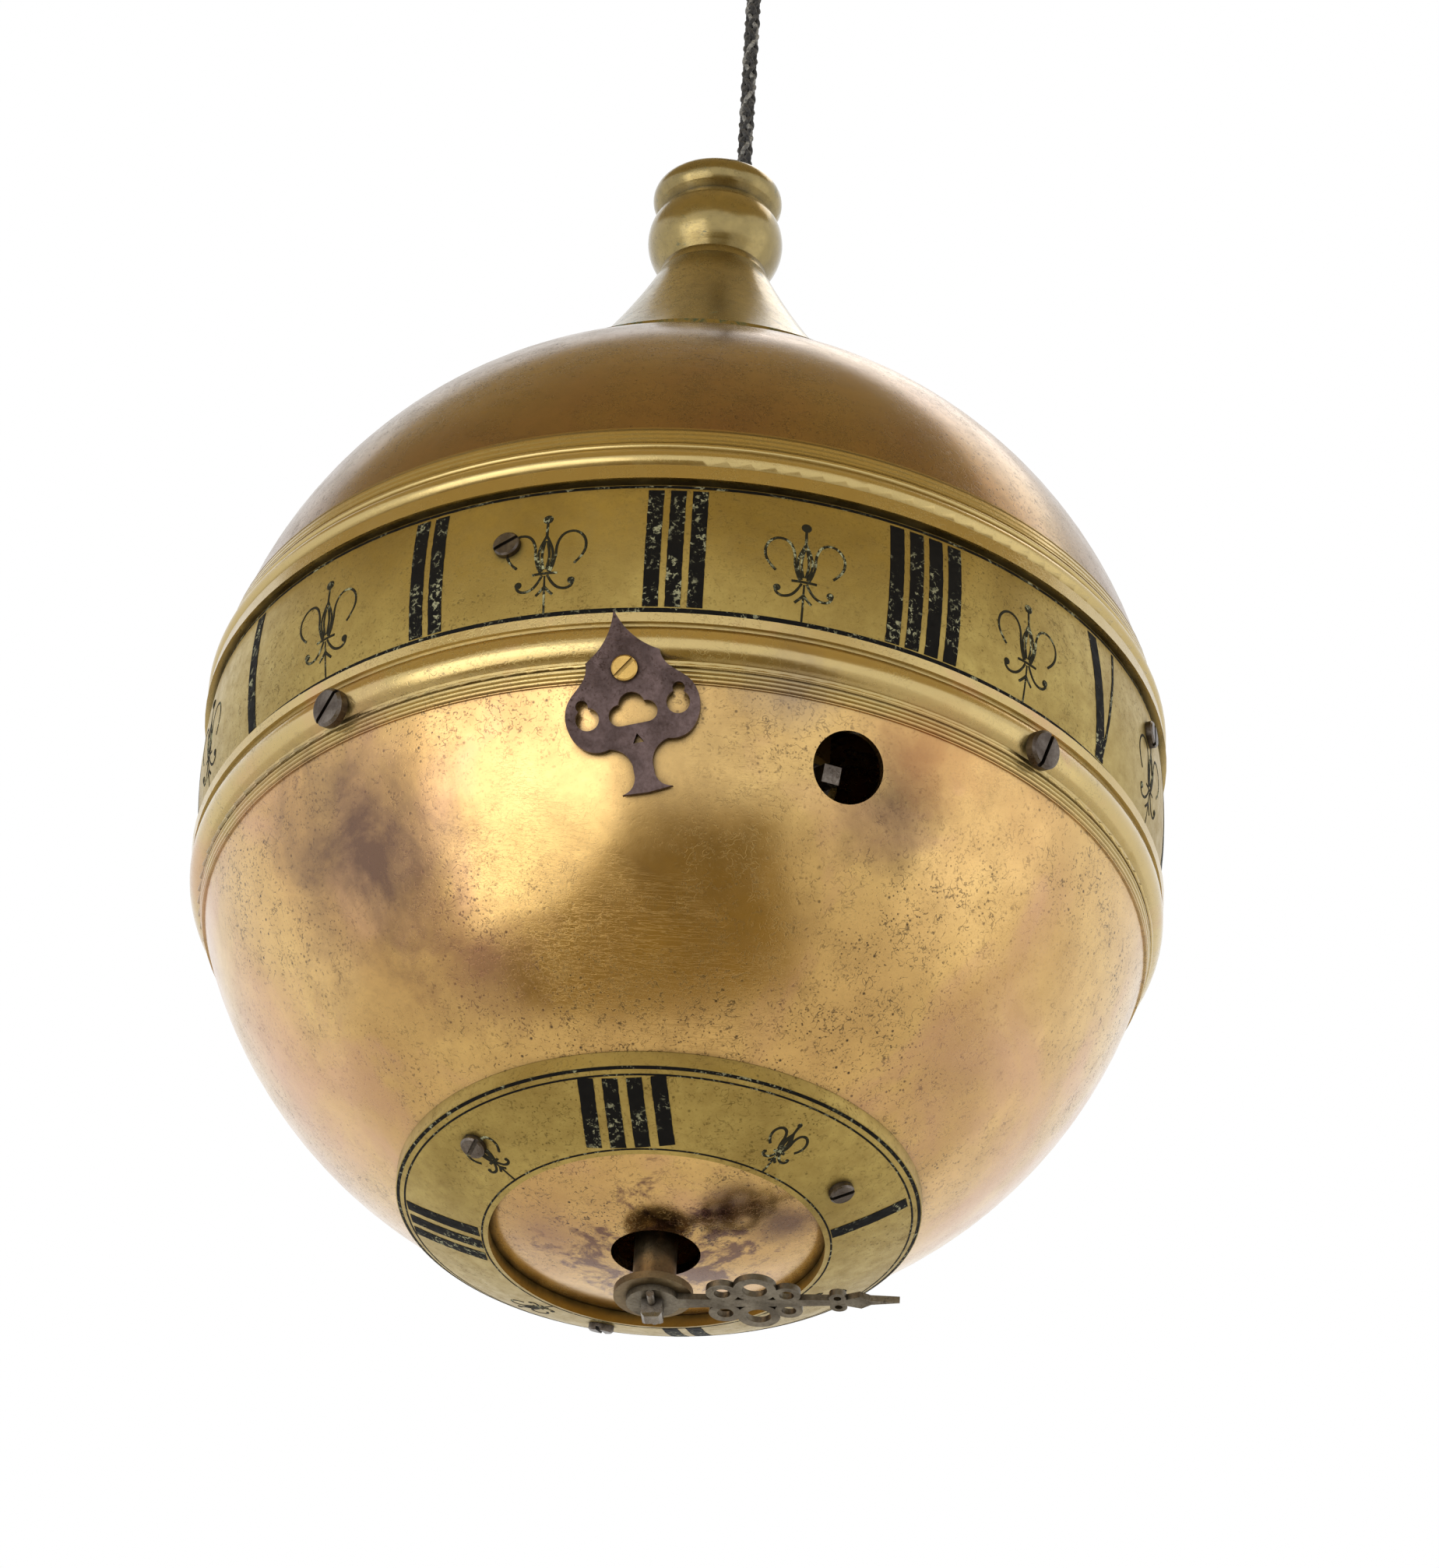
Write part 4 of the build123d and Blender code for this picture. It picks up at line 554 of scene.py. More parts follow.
# %% The lily
LINE = 0.17 * MM
STALK_LINE = LINE * 0.8
STALK_FROM = -2.9
PRESSED = 0.25
HALF_LILY = (
    ((0.12, 1.9), (0.42, 0.6), (0.45, -0.8), (0.15, -2.0)),
    ((0.0, 2.6), (0.75, 1.1), (0.95, -0.7), (0.35, -2.3)),
    (
        (0.55, -2.4), (1.25, -0.9), (1.2, 1.3), (2.0, 2.9), (3.6, 3.1), (4.8, 1.7), (4.6, -0.4),
        (3.4, -1.5),
    ),
    ((0.3, -2.8), (1.0, -4.3), (2.5, -4.9), (3.5, -4.2), (3.3, -3.5)),
    ((0.0, -4.3), (0.45, -4.9), (1.0, -5.4)),
)
MIDDLE_LILY = (
    ((0, 4.4), (0, 3.5), (0, 2.6)),
    ((-1.5, -2.6), (0, -2.5), (1.5, -2.6)),
)
DOT_AT, DOT_R = (3.15, -3.75), 0.45
BUD_AT, BUD_R = (0, 5.0), 0.62


def drawn_line(drawing, points, scale, width, shift):
    """A thin round line through points in millimetres times a scale, moved up by a shift."""
    thing = smooth_line("line", [Vector((x * scale * MM, y * scale * MM + shift, 0)) for x, y in points])
    thing.data.bevel_depth = width
    thing.data.bevel_resolution = 1
    thing.data.use_fill_caps = True
    thing.data.resolution_u = 5
    drawing.from_mesh(mesh_of(thing))


def lily(drawing, scale, stalk_to, shift):
    """A lily in millimetres times a scale, moved up by a shift, on a stalk down to a height."""
    for side in (-1, 1):
        for points in HALF_LILY:
            drawn_line(drawing, [(side * x, y) for x, y in points], scale, LINE, shift)
    for points in MIDDLE_LILY:
        drawn_line(drawing, points, scale, LINE, shift)
    stalk = [(0, STALK_FROM), (0, (STALK_FROM + stalk_to) / 2), (0, stalk_to)]
    drawn_line(drawing, stalk, scale, STALK_LINE, shift)
    flat = Matrix.Diagonal((1, 1, PRESSED, 1))
    bmesh.ops.transform(drawing, matrix=flat, verts=drawing.verts)
    spots = [(DOT_AT[0], DOT_AT[1], DOT_R), (-DOT_AT[0], DOT_AT[1], DOT_R), (*BUD_AT, BUD_R)]
    for x, y, r in spots:
        made = bmesh.ops.create_uvsphere(drawing, u_segments=12, v_segments=6, radius=r * scale * MM)
        place = Matrix.Translation((x * scale * MM, y * scale * MM + shift, 0)) @ flat
        bmesh.ops.transform(drawing, matrix=place, verts=made["verts"])


print("lily lines:", 2 * len(HALF_LILY) + len(MIDDLE_LILY) + 1)

# %% [markdown]
# Old lacquered brass is never one colour. Wide clouds of brown and pink lie over the gold, dark
# pits and hair scratches are scattered on it, and every corner is darkened by dirt and by painted
# shade. These effects are used by several metals, so each is a node group with its own numbers in
# every material. Three helpers make such a group, fill its output and place it in a material.

# %% Helpers for the shared effects


def effect(name, inputs, outputs):
    """A new node group. Returns its tree, its input sockets by name and its output node."""
    tree = bpy.data.node_groups.new(name, "ShaderNodeTree")
    for label, kind, value in inputs:
        socket = tree.interface.new_socket(name=label, in_out="INPUT", socket_type="NodeSocket" + kind)
        if value is not None:
            socket.default_value = value
    for label in outputs:
        tree.interface.new_socket(name=label, in_out="OUTPUT", socket_type="NodeSocketFloat")
    source = tree.nodes.new("NodeGroupInput")
    return tree, source.outputs, tree.nodes.new("NodeGroupOutput")


def give(tree, sink, **values):
    for key, value in values.items():
        tree.links.new(value, sink.inputs[key.replace("_", " ")])


def use(tree, group, **sockets):
    """Places an effect in a material."""
    node = tree.nodes.new("ShaderNodeGroup")
    node.node_tree = group
    for key, value in sockets.items():
        if isinstance(value, bpy.types.NodeSocket):
            tree.links.new(value, node.inputs[key])
        else:
            node.inputs[key].default_value = value
    return node.outputs


print("effect helpers ready")

# %% [markdown]
# Tarnish lies in wide soft clouds with finer mottling inside them. Both are noise, and each
# material sets the scale of the wide one.

# %% Tarnish clouds
MOTTLE_FINER = 9.0


def clouds_effect():
    """Wide clouds and finer mottling, both from 0 to 1."""
    tree, given, sink = effect(
        "tarnish_clouds", [("Place", "Vector", None), ("Scale", "Float", 22.0)], ["Wide", "Fine"]
    )
    wide = cloud(tree, given["Place"], given["Scale"], 4, 0.55, 0.6)
    finer = sums(tree, "MULTIPLY", given["Scale"], MOTTLE_FINER)
    fine = cloud(tree, given["Place"], finer, 5, 0.65, 0.2)
    give(tree, sink, Wide=between(tree, wide, 0.36, 0.66), Fine=between(tree, fine, 0.35, 0.7))
    return tree


CLOUDS = clouds_effect()
print("nodes in the clouds:", len(CLOUDS.nodes))

# %% [markdown]
# The pits come in loose swarms of round dots, worm-like spots, a fine grain and short cracks. A
# cell pattern makes the dots and the grain, and noise makes the rest: a crack is drawn where a
# noise crosses its middle value.

# %% Dark pits
SWARM_SCALE = 45.0
PIT_SCALE = 620.0
WORM_SCALE = 1500.0
GRAIN_SCALE, GRAIN_ZONE_SCALE = 1700.0, 170.0
CRACK_SCALE, CRACK_ZONE_SCALE = 760.0, 330.0
CRACK_HALF = 0.020


def pits_effect():
    """Dark dots, worms, grain and cracks in loose swarms, and their depth."""
    tree, given, sink = effect(
        "dark_pits", [("Place", "Vector", None), ("Amount", "Float", 0.5)], ["Mask", "Depth"]
    )
    place = given["Place"]
    swarm = between(tree, cloud(tree, place, SWARM_SCALE, 3), 0.36, 0.62, 0.15, 1.0)
    cells = put(tree, "TexVoronoi", {"feature": "F1"}, Vector=place, Scale=PIT_SCALE)
    dots = between(tree, cells.outputs[0], 0.06, 0.15, 0.9, 0.0)
    worms = between(tree, cloud(tree, place, WORM_SCALE, 2, 0.6, 1.5), 0.58, 0.70)
    spots = sums(tree, "MAXIMUM", dots, sums(tree, "MULTIPLY", worms, 0.7))
    grains = put(tree, "TexVoronoi", {"feature": "F1"}, Vector=place, Scale=GRAIN_SCALE)
    grain = between(tree, grains.outputs[0], 0.14, 0.26, 0.85, 0.0)
    grain_zones = between(tree, cloud(tree, place, GRAIN_ZONE_SCALE, 4, 0.6), 0.46, 0.60)
    grain = sums(tree, "MULTIPLY", grain, grain_zones)
    ridge = sums(tree, "SUBTRACT", cloud(tree, place, CRACK_SCALE, 2, 0.5, 0.4), 0.5)
    crack = between(tree, sums(tree, "ABSOLUTE", ridge), 0.0, CRACK_HALF, 0.9, 0.0)
    crack_zones = between(tree, cloud(tree, place, CRACK_ZONE_SCALE, 3), 0.50, 0.58)
    crack = sums(tree, "MULTIPLY", crack, crack_zones)
    spots = sums(tree, "MAXIMUM", spots, sums(tree, "MAXIMUM", grain, crack))
    mask = sums(tree, "MULTIPLY", sums(tree, "MULTIPLY", spots, swarm), given["Amount"], True)
    give(tree, sink, Mask=mask, Depth=sums(tree, "MULTIPLY", mask, -1.0))
    return tree


PITS = pits_effect()
print("nodes in the pits:", len(PITS.nodes))

# %% [markdown]
# Cloths and fingers leave hair scratches in two main directions. A noise stretched long has a
# thin line wherever it crosses its middle value, and such lines pass for scratches.

# %% Hair scratches
SCRATCH_ANGLES = (0.5, 2.1)
SCRATCH_TILT = 0.4
SCRATCH_STRETCH = 14
SCRATCH_SCALE, SCRATCH_ZONE_SCALE = 160.0, 60.0
SCRATCH_HALF = 0.010


def scratches_effect():
    """Hair scratches that run in two directions."""
    tree, given, sink = effect("hair_scratches", [("Place", "Vector", None)], ["Mask"])
    marks = None
    for angle in SCRATCH_ANGLES:
        turned = put(
            tree, "Mapping", None, Vector=given["Place"], Rotation=(angle, SCRATCH_TILT, angle),
            Scale=(1, SCRATCH_STRETCH, SCRATCH_STRETCH),
        )
        fine = cloud(tree, turned.outputs[0], SCRATCH_SCALE, 2, 0.5, 0.3)
        ridge = sums(tree, "ABSOLUTE", sums(tree, "SUBTRACT", fine, 0.5))
        line = between(tree, ridge, 0.0, SCRATCH_HALF, 1.0, 0.0)
        marks = line if marks is None else sums(tree, "MAXIMUM", marks, line)
    zones = between(tree, cloud(tree, given["Place"], SCRATCH_ZONE_SCALE, 2), 0.48, 0.62)
    give(tree, sink, Mask=sums(tree, "MULTIPLY", marks, zones))
    return tree


SCRATCHES = scratches_effect()
print("scratch directions:", len(SCRATCH_ANGLES))

# %% [markdown]
# Dirt and old polish stay where a cloth can't reach, and painted shade darkens the same corners.
# Ambient occlusion tells how deep a point lies in a corner, and a little noise keeps the edge of
# the darkening uneven.

# %% Dirt and painted shade in the corners
CORNER_REACH = 0.0012
DIRT_AND_SHADE_SCALE = 400.0


def corner_dirt_and_shade_effect():
    """How far a point lies in a corner, where dirt gathers and painted shade darkens the colour."""
    tree, given, sink = effect(
        "corner_dirt_and_shade", [("Place", "Vector", None), ("Reach", "Float", CORNER_REACH)], ["Mask"]
    )
    hidden = put(tree, "AmbientOcclusion", {"samples": 6}, Distance=given["Reach"]).outputs["AO"]
    uneven = between(tree, cloud(tree, given["Place"], DIRT_AND_SHADE_SCALE, 3), 0.3, 0.7, 0.55, 1.0)
    mask = sums(tree, "MULTIPLY", between(tree, hidden, 0.45, 0.92, 1.0, 0.0), uneven)
    give(tree, sink, Mask=mask)
    return tree


CORNER_DIRT_AND_SHADE = corner_dirt_and_shade_effect()
print("effects:", [group.name for group in bpy.data.node_groups])

# %% [markdown]
# One recipe serves all the metals, with other numbers each time: a clean colour, a cloudy colour
# and a stain, how rough the metal is where it is clean and where it is dull, the scale of its
# clouds, how many pits it has, and how much clear lacquer lies over it. The pits and clouds also
# move the roughness, so the gloss breaks up as on old brass.

# %% Worn metal
PIT_COLOUR = srgb(38, 24, 14)
SCRATCH_COLOUR = srgb(70, 48, 28)
DIRT_AND_SHADE_COLOUR = srgb(30, 24, 14)
MOTTLE_SHARE = 0.35
SCRATCH_SHARE = 0.35
DIRT_AND_SHADE_SHARE = 0.8
WEAR_DULLS_BY = 0.3
SCRATCH_HEIGHT = -0.4
MOTTLE_HEIGHT = 0.5
BUMP_STRENGTH = 0.35
BUMP_REACH = 0.04 * MM
LACQUER_ROUGHNESS = 0.16


def worn_metal(name, clean, cloudy, stain, smooth, dull, scale, pits, lacquer=0.0):
    """An aged metal. Returns the material, its tree, the shader, the colour so far and the place."""
    material = bpy.data.materials.new(name)
    material.use_nodes = True
    tree = material.node_tree
    shader = tree.nodes["Principled BSDF"]
    shader.inputs["Metallic"].default_value = 1.0
    shader.inputs["Coat Weight"].default_value = lacquer
    shader.inputs["Coat Roughness"].default_value = LACQUER_ROUGHNESS
    place = put(tree, "TexCoord").outputs["Object"]
    patches = use(tree, CLOUDS, Place=place, Scale=scale)
    holes = use(tree, PITS, Place=place, Amount=pits)
    hairs = use(tree, SCRATCHES, Place=place)
    corner = use(tree, CORNER_DIRT_AND_SHADE, Place=place)
    colour = blend_colours(tree, patches["Wide"], clean, cloudy)
    mottle = sums(tree, "MULTIPLY", patches["Fine"], MOTTLE_SHARE)
    colour = blend_colours(tree, mottle, colour, stain)
    colour = blend_colours(tree, holes["Mask"], colour, PIT_COLOUR)
    scratch = sums(tree, "MULTIPLY", hairs["Mask"], SCRATCH_SHARE)
    colour = blend_colours(tree, scratch, colour, SCRATCH_COLOUR)
    # The corner mask darkens the colour, both with dirt and with painted shade in the corners.
    dirt_and_shade = sums(tree, "MULTIPLY", corner["Mask"], DIRT_AND_SHADE_SHARE)
    colour = blend_colours(tree, dirt_and_shade, colour, DIRT_AND_SHADE_COLOUR)
    gloss = between(tree, patches["Fine"], 0.0, 1.0, smooth, dull)
    worn = sums(tree, "MAXIMUM", holes["Mask"], corner["Mask"])
    gloss = sums(tree, "ADD", gloss, sums(tree, "MULTIPLY", worn, WEAR_DULLS_BY), True)
    height = sums(tree, "ADD", holes["Depth"], sums(tree, "MULTIPLY", hairs["Mask"], SCRATCH_HEIGHT))
    height = sums(tree, "ADD", height, sums(tree, "MULTIPLY", patches["Fine"], MOTTLE_HEIGHT))
    bump = put(tree, "Bump", None, Strength=BUMP_STRENGTH, Distance=BUMP_REACH, Height=height)
    tree.links.new(colour, shader.inputs["Base Color"])
    tree.links.new(gloss, shader.inputs["Roughness"])
    tree.links.new(bump.outputs[0], shader.inputs["Normal"])
    return material, tree, shader, colour, place


def plain_metal(name, clean, cloudy, stain, **numbers):
    """The material of a worn metal that needs nothing more."""
    return worn_metal(name, clean, cloudy, stain, **numbers)[0]


print("recipe ready, with", len(bpy.data.node_groups), "effects")

# %% [markdown]
# The upper dome is a browner brass than the gilded lower one, and its moulded rim is rubbed to a
# paler olive. The rim's colour is blended in by height, from the dome's edge inwards.

# %% Upper dome
RIM_TALL = 7.5 * MM
RIM_FADE = 1.0 * MM
RIM_SHARE = 0.75


def olive_rim(tree, shader, colour, place, edge, inwards, tint):
    """The mouldings at a dome's rim, rubbed cleaner and more olive than the dome."""
    height = put(tree, "SeparateXYZ", None, Vector=place).outputs[2]
    full = edge + inwards * RIM_TALL
    none = edge + inwards * (RIM_TALL + RIM_FADE)
    share = between(tree, height, full, none, RIM_SHARE, 0.0)
    colour = blend_colours(tree, share, colour, tint)
    tree.links.new(colour, shader.inputs["Base Color"])
    return colour


upper_brass, *parts = worn_metal(
    "patinated_brass", srgb(156, 126, 74), srgb(140, 104, 68), srgb(104, 86, 46),
    smooth=0.18, dull=0.30, scale=26.0, pits=0.6, lacquer=0.3,
)
upper_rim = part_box("upper_dome")[0].z
olive_rim(*parts, upper_rim, 1, srgb(206, 184, 122))
print("upper dome's rim at", round(upper_rim / MM, 1), "mm")

# %% [markdown]
# The small pieces are brass and steel that time has treated differently. The band and the dial
# are a greener brass, the screws and the hand an old grey steel, the pointer a darker brown one,
# and the wheels inside are the cleanest, because no hand has reached them.

# %% Metals of the small pieces
band_brass = plain_metal(
    "dial_brass", srgb(190, 168, 100), srgb(164, 142, 80), srgb(134, 108, 58),
    smooth=0.32, dull=0.46, scale=60.0, pits=0.6,
)
screw_steel = plain_metal(
    "screw_steel", srgb(128, 120, 112), srgb(84, 76, 70), srgb(62, 48, 38),
    smooth=0.26, dull=0.44, scale=300.0, pits=0.6,
)
pointer_steel = plain_metal(
    "dark_steel", srgb(104, 88, 86), srgb(72, 60, 58), srgb(54, 40, 34),
    smooth=0.34, dull=0.52, scale=240.0, pits=0.8,
)
hand_steel = plain_metal(
    "hand_steel", srgb(140, 132, 116), srgb(96, 88, 74), srgb(66, 54, 42),
    smooth=0.30, dull=0.48, scale=300.0, pits=0.8,
)
arbor_steel = plain_metal(
    "arbor_steel", srgb(168, 162, 152), srgb(120, 110, 98), srgb(84, 70, 56),
    smooth=0.22, dull=0.38, scale=260.0, pits=0.5,
)
boss_brass = plain_metal(
    "turned_brass", srgb(146, 130, 100), srgb(116, 98, 74), srgb(82, 66, 46),
    smooth=0.28, dull=0.42, scale=160.0, pits=0.5,
)
work_brass = plain_metal(
    "movement_brass", srgb(214, 178, 104), srgb(196, 158, 88), srgb(150, 116, 60),
    smooth=0.22, dull=0.34, scale=40.0, pits=0.2,
)
work_steel = plain_metal(
    "movement_steel", srgb(176, 174, 170), srgb(150, 146, 140), srgb(108, 100, 90),
    smooth=0.20, dull=0.32, scale=80.0, pits=0.2,
)
print("materials so far:", len(bpy.data.materials))

# %% [markdown]
# The gilding of the lower dome has worn unevenly. It turns pink in wide patches, and it carries
# brown and copper stains whose places were read from the photograph. One wide olive patch among
# them, where the dome faces the camera, is a painted reflection of the dark room in front of the
# ball. Each stain here is a direction from the ball's middle, its reach in millimetres, its colour,
# and its strength.

# %% Gilding of the lower dome
gilt, tree, shader, colour, place = worn_metal(
    "gilt_brass", srgb(230, 192, 120), srgb(206, 162, 102), srgb(152, 116, 66),
    smooth=0.17, dull=0.29, scale=20.0, pits=1.0, lacquer=0.6,
)
DOME_R = (dome_high.x - dome_low.x) / 2
DOME_MIDDLE = Vector((ball.x, 0, dial_height))
STAINS_AND_REFLECTION = (
    ((-0.61, -0.62, -0.48), 17, srgb(104, 76, 60), 0.95),
    # Painted reflection, not a stain: the dark room in front of the ball, where the dome faces the
    # camera.
    ((-0.02, -0.85, -0.53), 17, srgb(140, 112, 68), 0.6),
    ((0.41, -0.81, -0.41), 8, srgb(96, 68, 46), 0.8),
    ((0.49, -0.82, -0.29), 8, srgb(180, 116, 68), 0.45),
    ((0.20, -0.94, -0.26), 6, srgb(150, 130, 108), 0.7),
    ((0.67, -0.47, -0.58), 12, srgb(186, 144, 76), 0.7),
    ((-0.38, -0.59, -0.71), 11, srgb(148, 106, 78), 0.8),
    ((-0.79, -0.04, -0.61), 14, srgb(206, 152, 122), 0.6),
    ((0.60, -0.32, -0.73), 10, srgb(184, 140, 104), 0.6),
    ((0.13, -0.16, -0.977), 5, srgb(84, 54, 48), 0.9),
    ((0.25, -0.10, -0.962), 5, srgb(92, 60, 50), 0.85),
    ((-0.22, -0.03, -0.973), 8, srgb(140, 98, 92), 0.6),
)
PINK_SCALE = 34.0
PINK_SHARE = 0.55
RAGGED_SCALE = 75.0
RAGGED_BY = 2.2

colour = olive_rim(tree, shader, colour, place, dome_high.z, -1, srgb(196, 176, 116))
pink = between(tree, cloud(tree, place, PINK_SCALE, 4, 0.6, 0.8), 0.52, 0.64)
colour = blend_colours(tree, sums(tree, "MULTIPLY", pink, PINK_SHARE), colour, srgb(206, 158, 124))
ragged = sums(tree, "SUBTRACT", cloud(tree, place, RAGGED_SCALE, 6, 0.7, 0.3), 0.5)
for way, reach, tint, share in STAINS_AND_REFLECTION:
    spot = DOME_MIDDLE + Vector(way) * DOME_R
    far = put(tree, "VectorMath", {"operation": "DISTANCE"}, in0=place, in1=spot).outputs["Value"]
    uneven = sums(tree, "ADD", far, sums(tree, "MULTIPLY", ragged, reach * MM * RAGGED_BY))
    mask = between(tree, uneven, 0.0, reach * MM, share, 0.0)
    colour = blend_colours(tree, mask, colour, tint)
print("stains on the gilding:", len(STAINS_AND_REFLECTION))

# %% [markdown]
# Around the hole at the lower pole the gilding is burnt to purple and nearly black. The burn is
# noise again, helped along near the hole and cut off past the dial's inner edge, and only where
# the dome is lowest, so that nothing inside it is burnt.

# %% The burnt pole
BURN_FULL_R = 4 * MM
BURN_R = 17.0 * MM
BURN_END_R = 19 * MM
# All of the burn lies below the first height and none above the second, in metres from the
# dome's middle.
BURN_BELOW, BURN_ABOVE = -0.052, -0.050
BURN_SCALE = 190.0
BURN_HELP = 0.22
BURN_SHARE = 0.85


def burnt(tree, place):
    """How burnt the gilding is round the pole, from 0 to 1."""
    centred = put(tree, "Mapping", None, Vector=place, Location=(-ball.x, 0, -dial_height)).outputs[0]
    sideways = put(tree, "VectorMath", {"operation": "MULTIPLY"}, in0=centred, in1=(1, 1, 0)).outputs[0]
    from_axis = put(tree, "VectorMath", {"operation": "LENGTH"}, in0=sideways).outputs["Value"]
    height = put(tree, "SeparateXYZ", None, Vector=centred).outputs[2]
    below = between(tree, height, BURN_BELOW, BURN_ABOVE, 1.0, 0.0)
    near = between(tree, from_axis, BURN_FULL_R, BURN_R, 1.0, 0.0)
    patch = cloud(tree, place, BURN_SCALE, 5, 0.7, 0.4)
    patch = sums(tree, "ADD", patch, sums(tree, "MULTIPLY", near, BURN_HELP))
    patch = sums(tree, "MULTIPLY", between(tree, patch, 0.62, 0.72), below)
    return sums(tree, "MULTIPLY", patch, between(tree, from_axis, BURN_R, BURN_END_R, 1.0, 0.0))


mask = sums(tree, "MULTIPLY", burnt(tree, place), BURN_SHARE)
colour = blend_colours(tree, mask, colour, srgb(92, 54, 52))
tree.links.new(colour, shader.inputs["Base Color"])
print("gilding ready")

# %% [markdown]
# The finial is cast and turned brass, handled less than the ball, so green has settled at the
# foot of its flare. The green is a crust, not metal, and it lies thick where the mask is strong.

# %% Cast brass of the finial
CRUST_FULL, CRUST_END = 3 * MM, 14 * MM
CRUST_SCALE = 260.0
CRUST_HELP = 0.12
CRUST_METAL = 0.35

cast, tree, shader, colour, place = worn_metal(
    "cast_brass", srgb(162, 142, 88), srgb(134, 116, 70), srgb(98, 88, 52),
    smooth=0.18, dull=0.30, scale=70.0, pits=0.6, lacquer=0.6,
)
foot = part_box("finial")[0].z
height = put(tree, "SeparateXYZ", None, Vector=place).outputs[2]
low_down = between(tree, height, foot + CRUST_FULL, foot + CRUST_END, 1.0, 0.0)
crust = cloud(tree, place, CRUST_SCALE, 5, 0.7, 0.5)
crust = sums(tree, "ADD", crust, sums(tree, "MULTIPLY", low_down, CRUST_HELP))
crust = between(tree, crust, 0.62, 0.70)
colour = blend_colours(tree, crust, colour, srgb(70, 84, 60))
tree.links.new(colour, shader.inputs["Base Color"])
tree.links.new(between(tree, crust, 0.0, 1.0, 1.0, CRUST_METAL), shader.inputs["Metallic"])
print("cast brass ready, its foot at", round(foot / MM, 1), "mm")

# %% [markdown]
# The wax in the numerals is black and matt, and it has fallen out in flecks that show pale metal.
# The lines of the lilies hold old dirt instead of wax, so they are browner and have lost more.
# One recipe makes both: a lower number for flecks or zones loses more of the filling.

# %% Wax and engraving
FLECK_SCALE, FLECK_EDGE = 1500.0, 0.06
ZONE_SCALE, ZONE_EDGE = 260.0, 0.12
BARE_METAL = 0.7
WAX_SHINE = 0.12
WAX_BUMP = 0.00005


def filled_cut(name, fill, bare, flecks, zones):
    """Cut lines with a dark filling that has fallen out in flecks and shows the bare metal."""
    material = bpy.data.materials.new(name)
    material.use_nodes = True
    tree = material.node_tree
    shader = tree.nodes["Principled BSDF"]
    place = put(tree, "TexCoord").outputs["Object"]
    fallen = between(tree, cloud(tree, place, FLECK_SCALE, 4, 0.7, 0.6), flecks, flecks + FLECK_EDGE)
    loose = between(tree, cloud(tree, place, ZONE_SCALE, 3), zones, zones + ZONE_EDGE)
    lost = sums(tree, "MULTIPLY", fallen, loose)
    tree.links.new(blend_colours(tree, lost, fill, bare), shader.inputs["Base Color"])
    tree.links.new(between(tree, lost, 0, 1, 0.0, BARE_METAL), shader.inputs["Metallic"])
    rough = between(tree, cloud(tree, place, 900.0), 0.3, 0.7, 0.55, 0.75)
    tree.links.new(rough, shader.inputs["Roughness"])
    shader.inputs["Specular IOR Level"].default_value = WAX_SHINE
    height = cloud(tree, place, 1100.0, 4)
    bump = put(tree, "Bump", None, Strength=0.4, Distance=WAX_BUMP, Height=height)
    tree.links.new(bump.outputs[0], shader.inputs["Normal"])
    return material


# This black wax also paints the shadow of the gaps along the band's edges.
wax_and_gap_shade = filled_cut("black_wax_and_gap_shade", srgb(14, 13, 12), srgb(168, 168, 138), flecks=0.55, zones=0.46)
engraving = filled_cut("dark_engraving", srgb(40, 38, 26), srgb(176, 178, 144), flecks=0.52, zones=0.46)
print("fillings:", wax_and_gap_shade.name, "and", engraving.name)

# %% [markdown]
# The cord's strands are dull threads with a fine twist. Fine noise gives the twist its light and
# dark fibres, and the same noise lifts them a little.

# %% Thread
TWIST_SCALE = 2600.0
THREAD_ROUGHNESS = 0.75
THREAD_SHEEN = 0.25
FIBRE_BUMP = 0.00008


def thread(name, dark_colour, light_colour):
    """A dull twisted thread in two shades."""
    material = bpy.data.materials.new(name)
    material.use_nodes = True
    tree = material.node_tree
    shader = tree.nodes["Principled BSDF"]
    place = put(tree, "TexCoord").outputs["Object"]
    twist = cloud(tree, place, TWIST_SCALE, 2, 0.5)
    colour = blend_colours(tree, between(tree, twist, 0.42, 0.66), dark_colour, light_colour)
    tree.links.new(colour, shader.inputs["Base Color"])
    shader.inputs["Roughness"].default_value = THREAD_ROUGHNESS
    shader.inputs["Sheen Weight"].default_value = THREAD_SHEEN
    fibres = put(tree, "Bump", None, Strength=0.5, Distance=FIBRE_BUMP, Height=twist)
    tree.links.new(fibres.outputs[0], shader.inputs["Normal"])
    return material


black_thread = thread("braided_cord", srgb(24, 24, 26), srgb(66, 66, 68))
grey_thread = thread("grey_thread", srgb(96, 96, 96), srgb(158, 158, 154))
cord.data.materials.append(black_thread)
cord.data.materials.append(grey_thread)
print("cord materials:", len(cord.data.materials))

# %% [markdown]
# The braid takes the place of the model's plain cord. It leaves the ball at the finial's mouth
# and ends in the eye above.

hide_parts("cord_hanging")
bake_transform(cord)
print("cord declared,", round(cord_length / MM, 1), "mm")

# %% [markdown]
# Each piece of the model now gets its finish, by the metal it is made of.

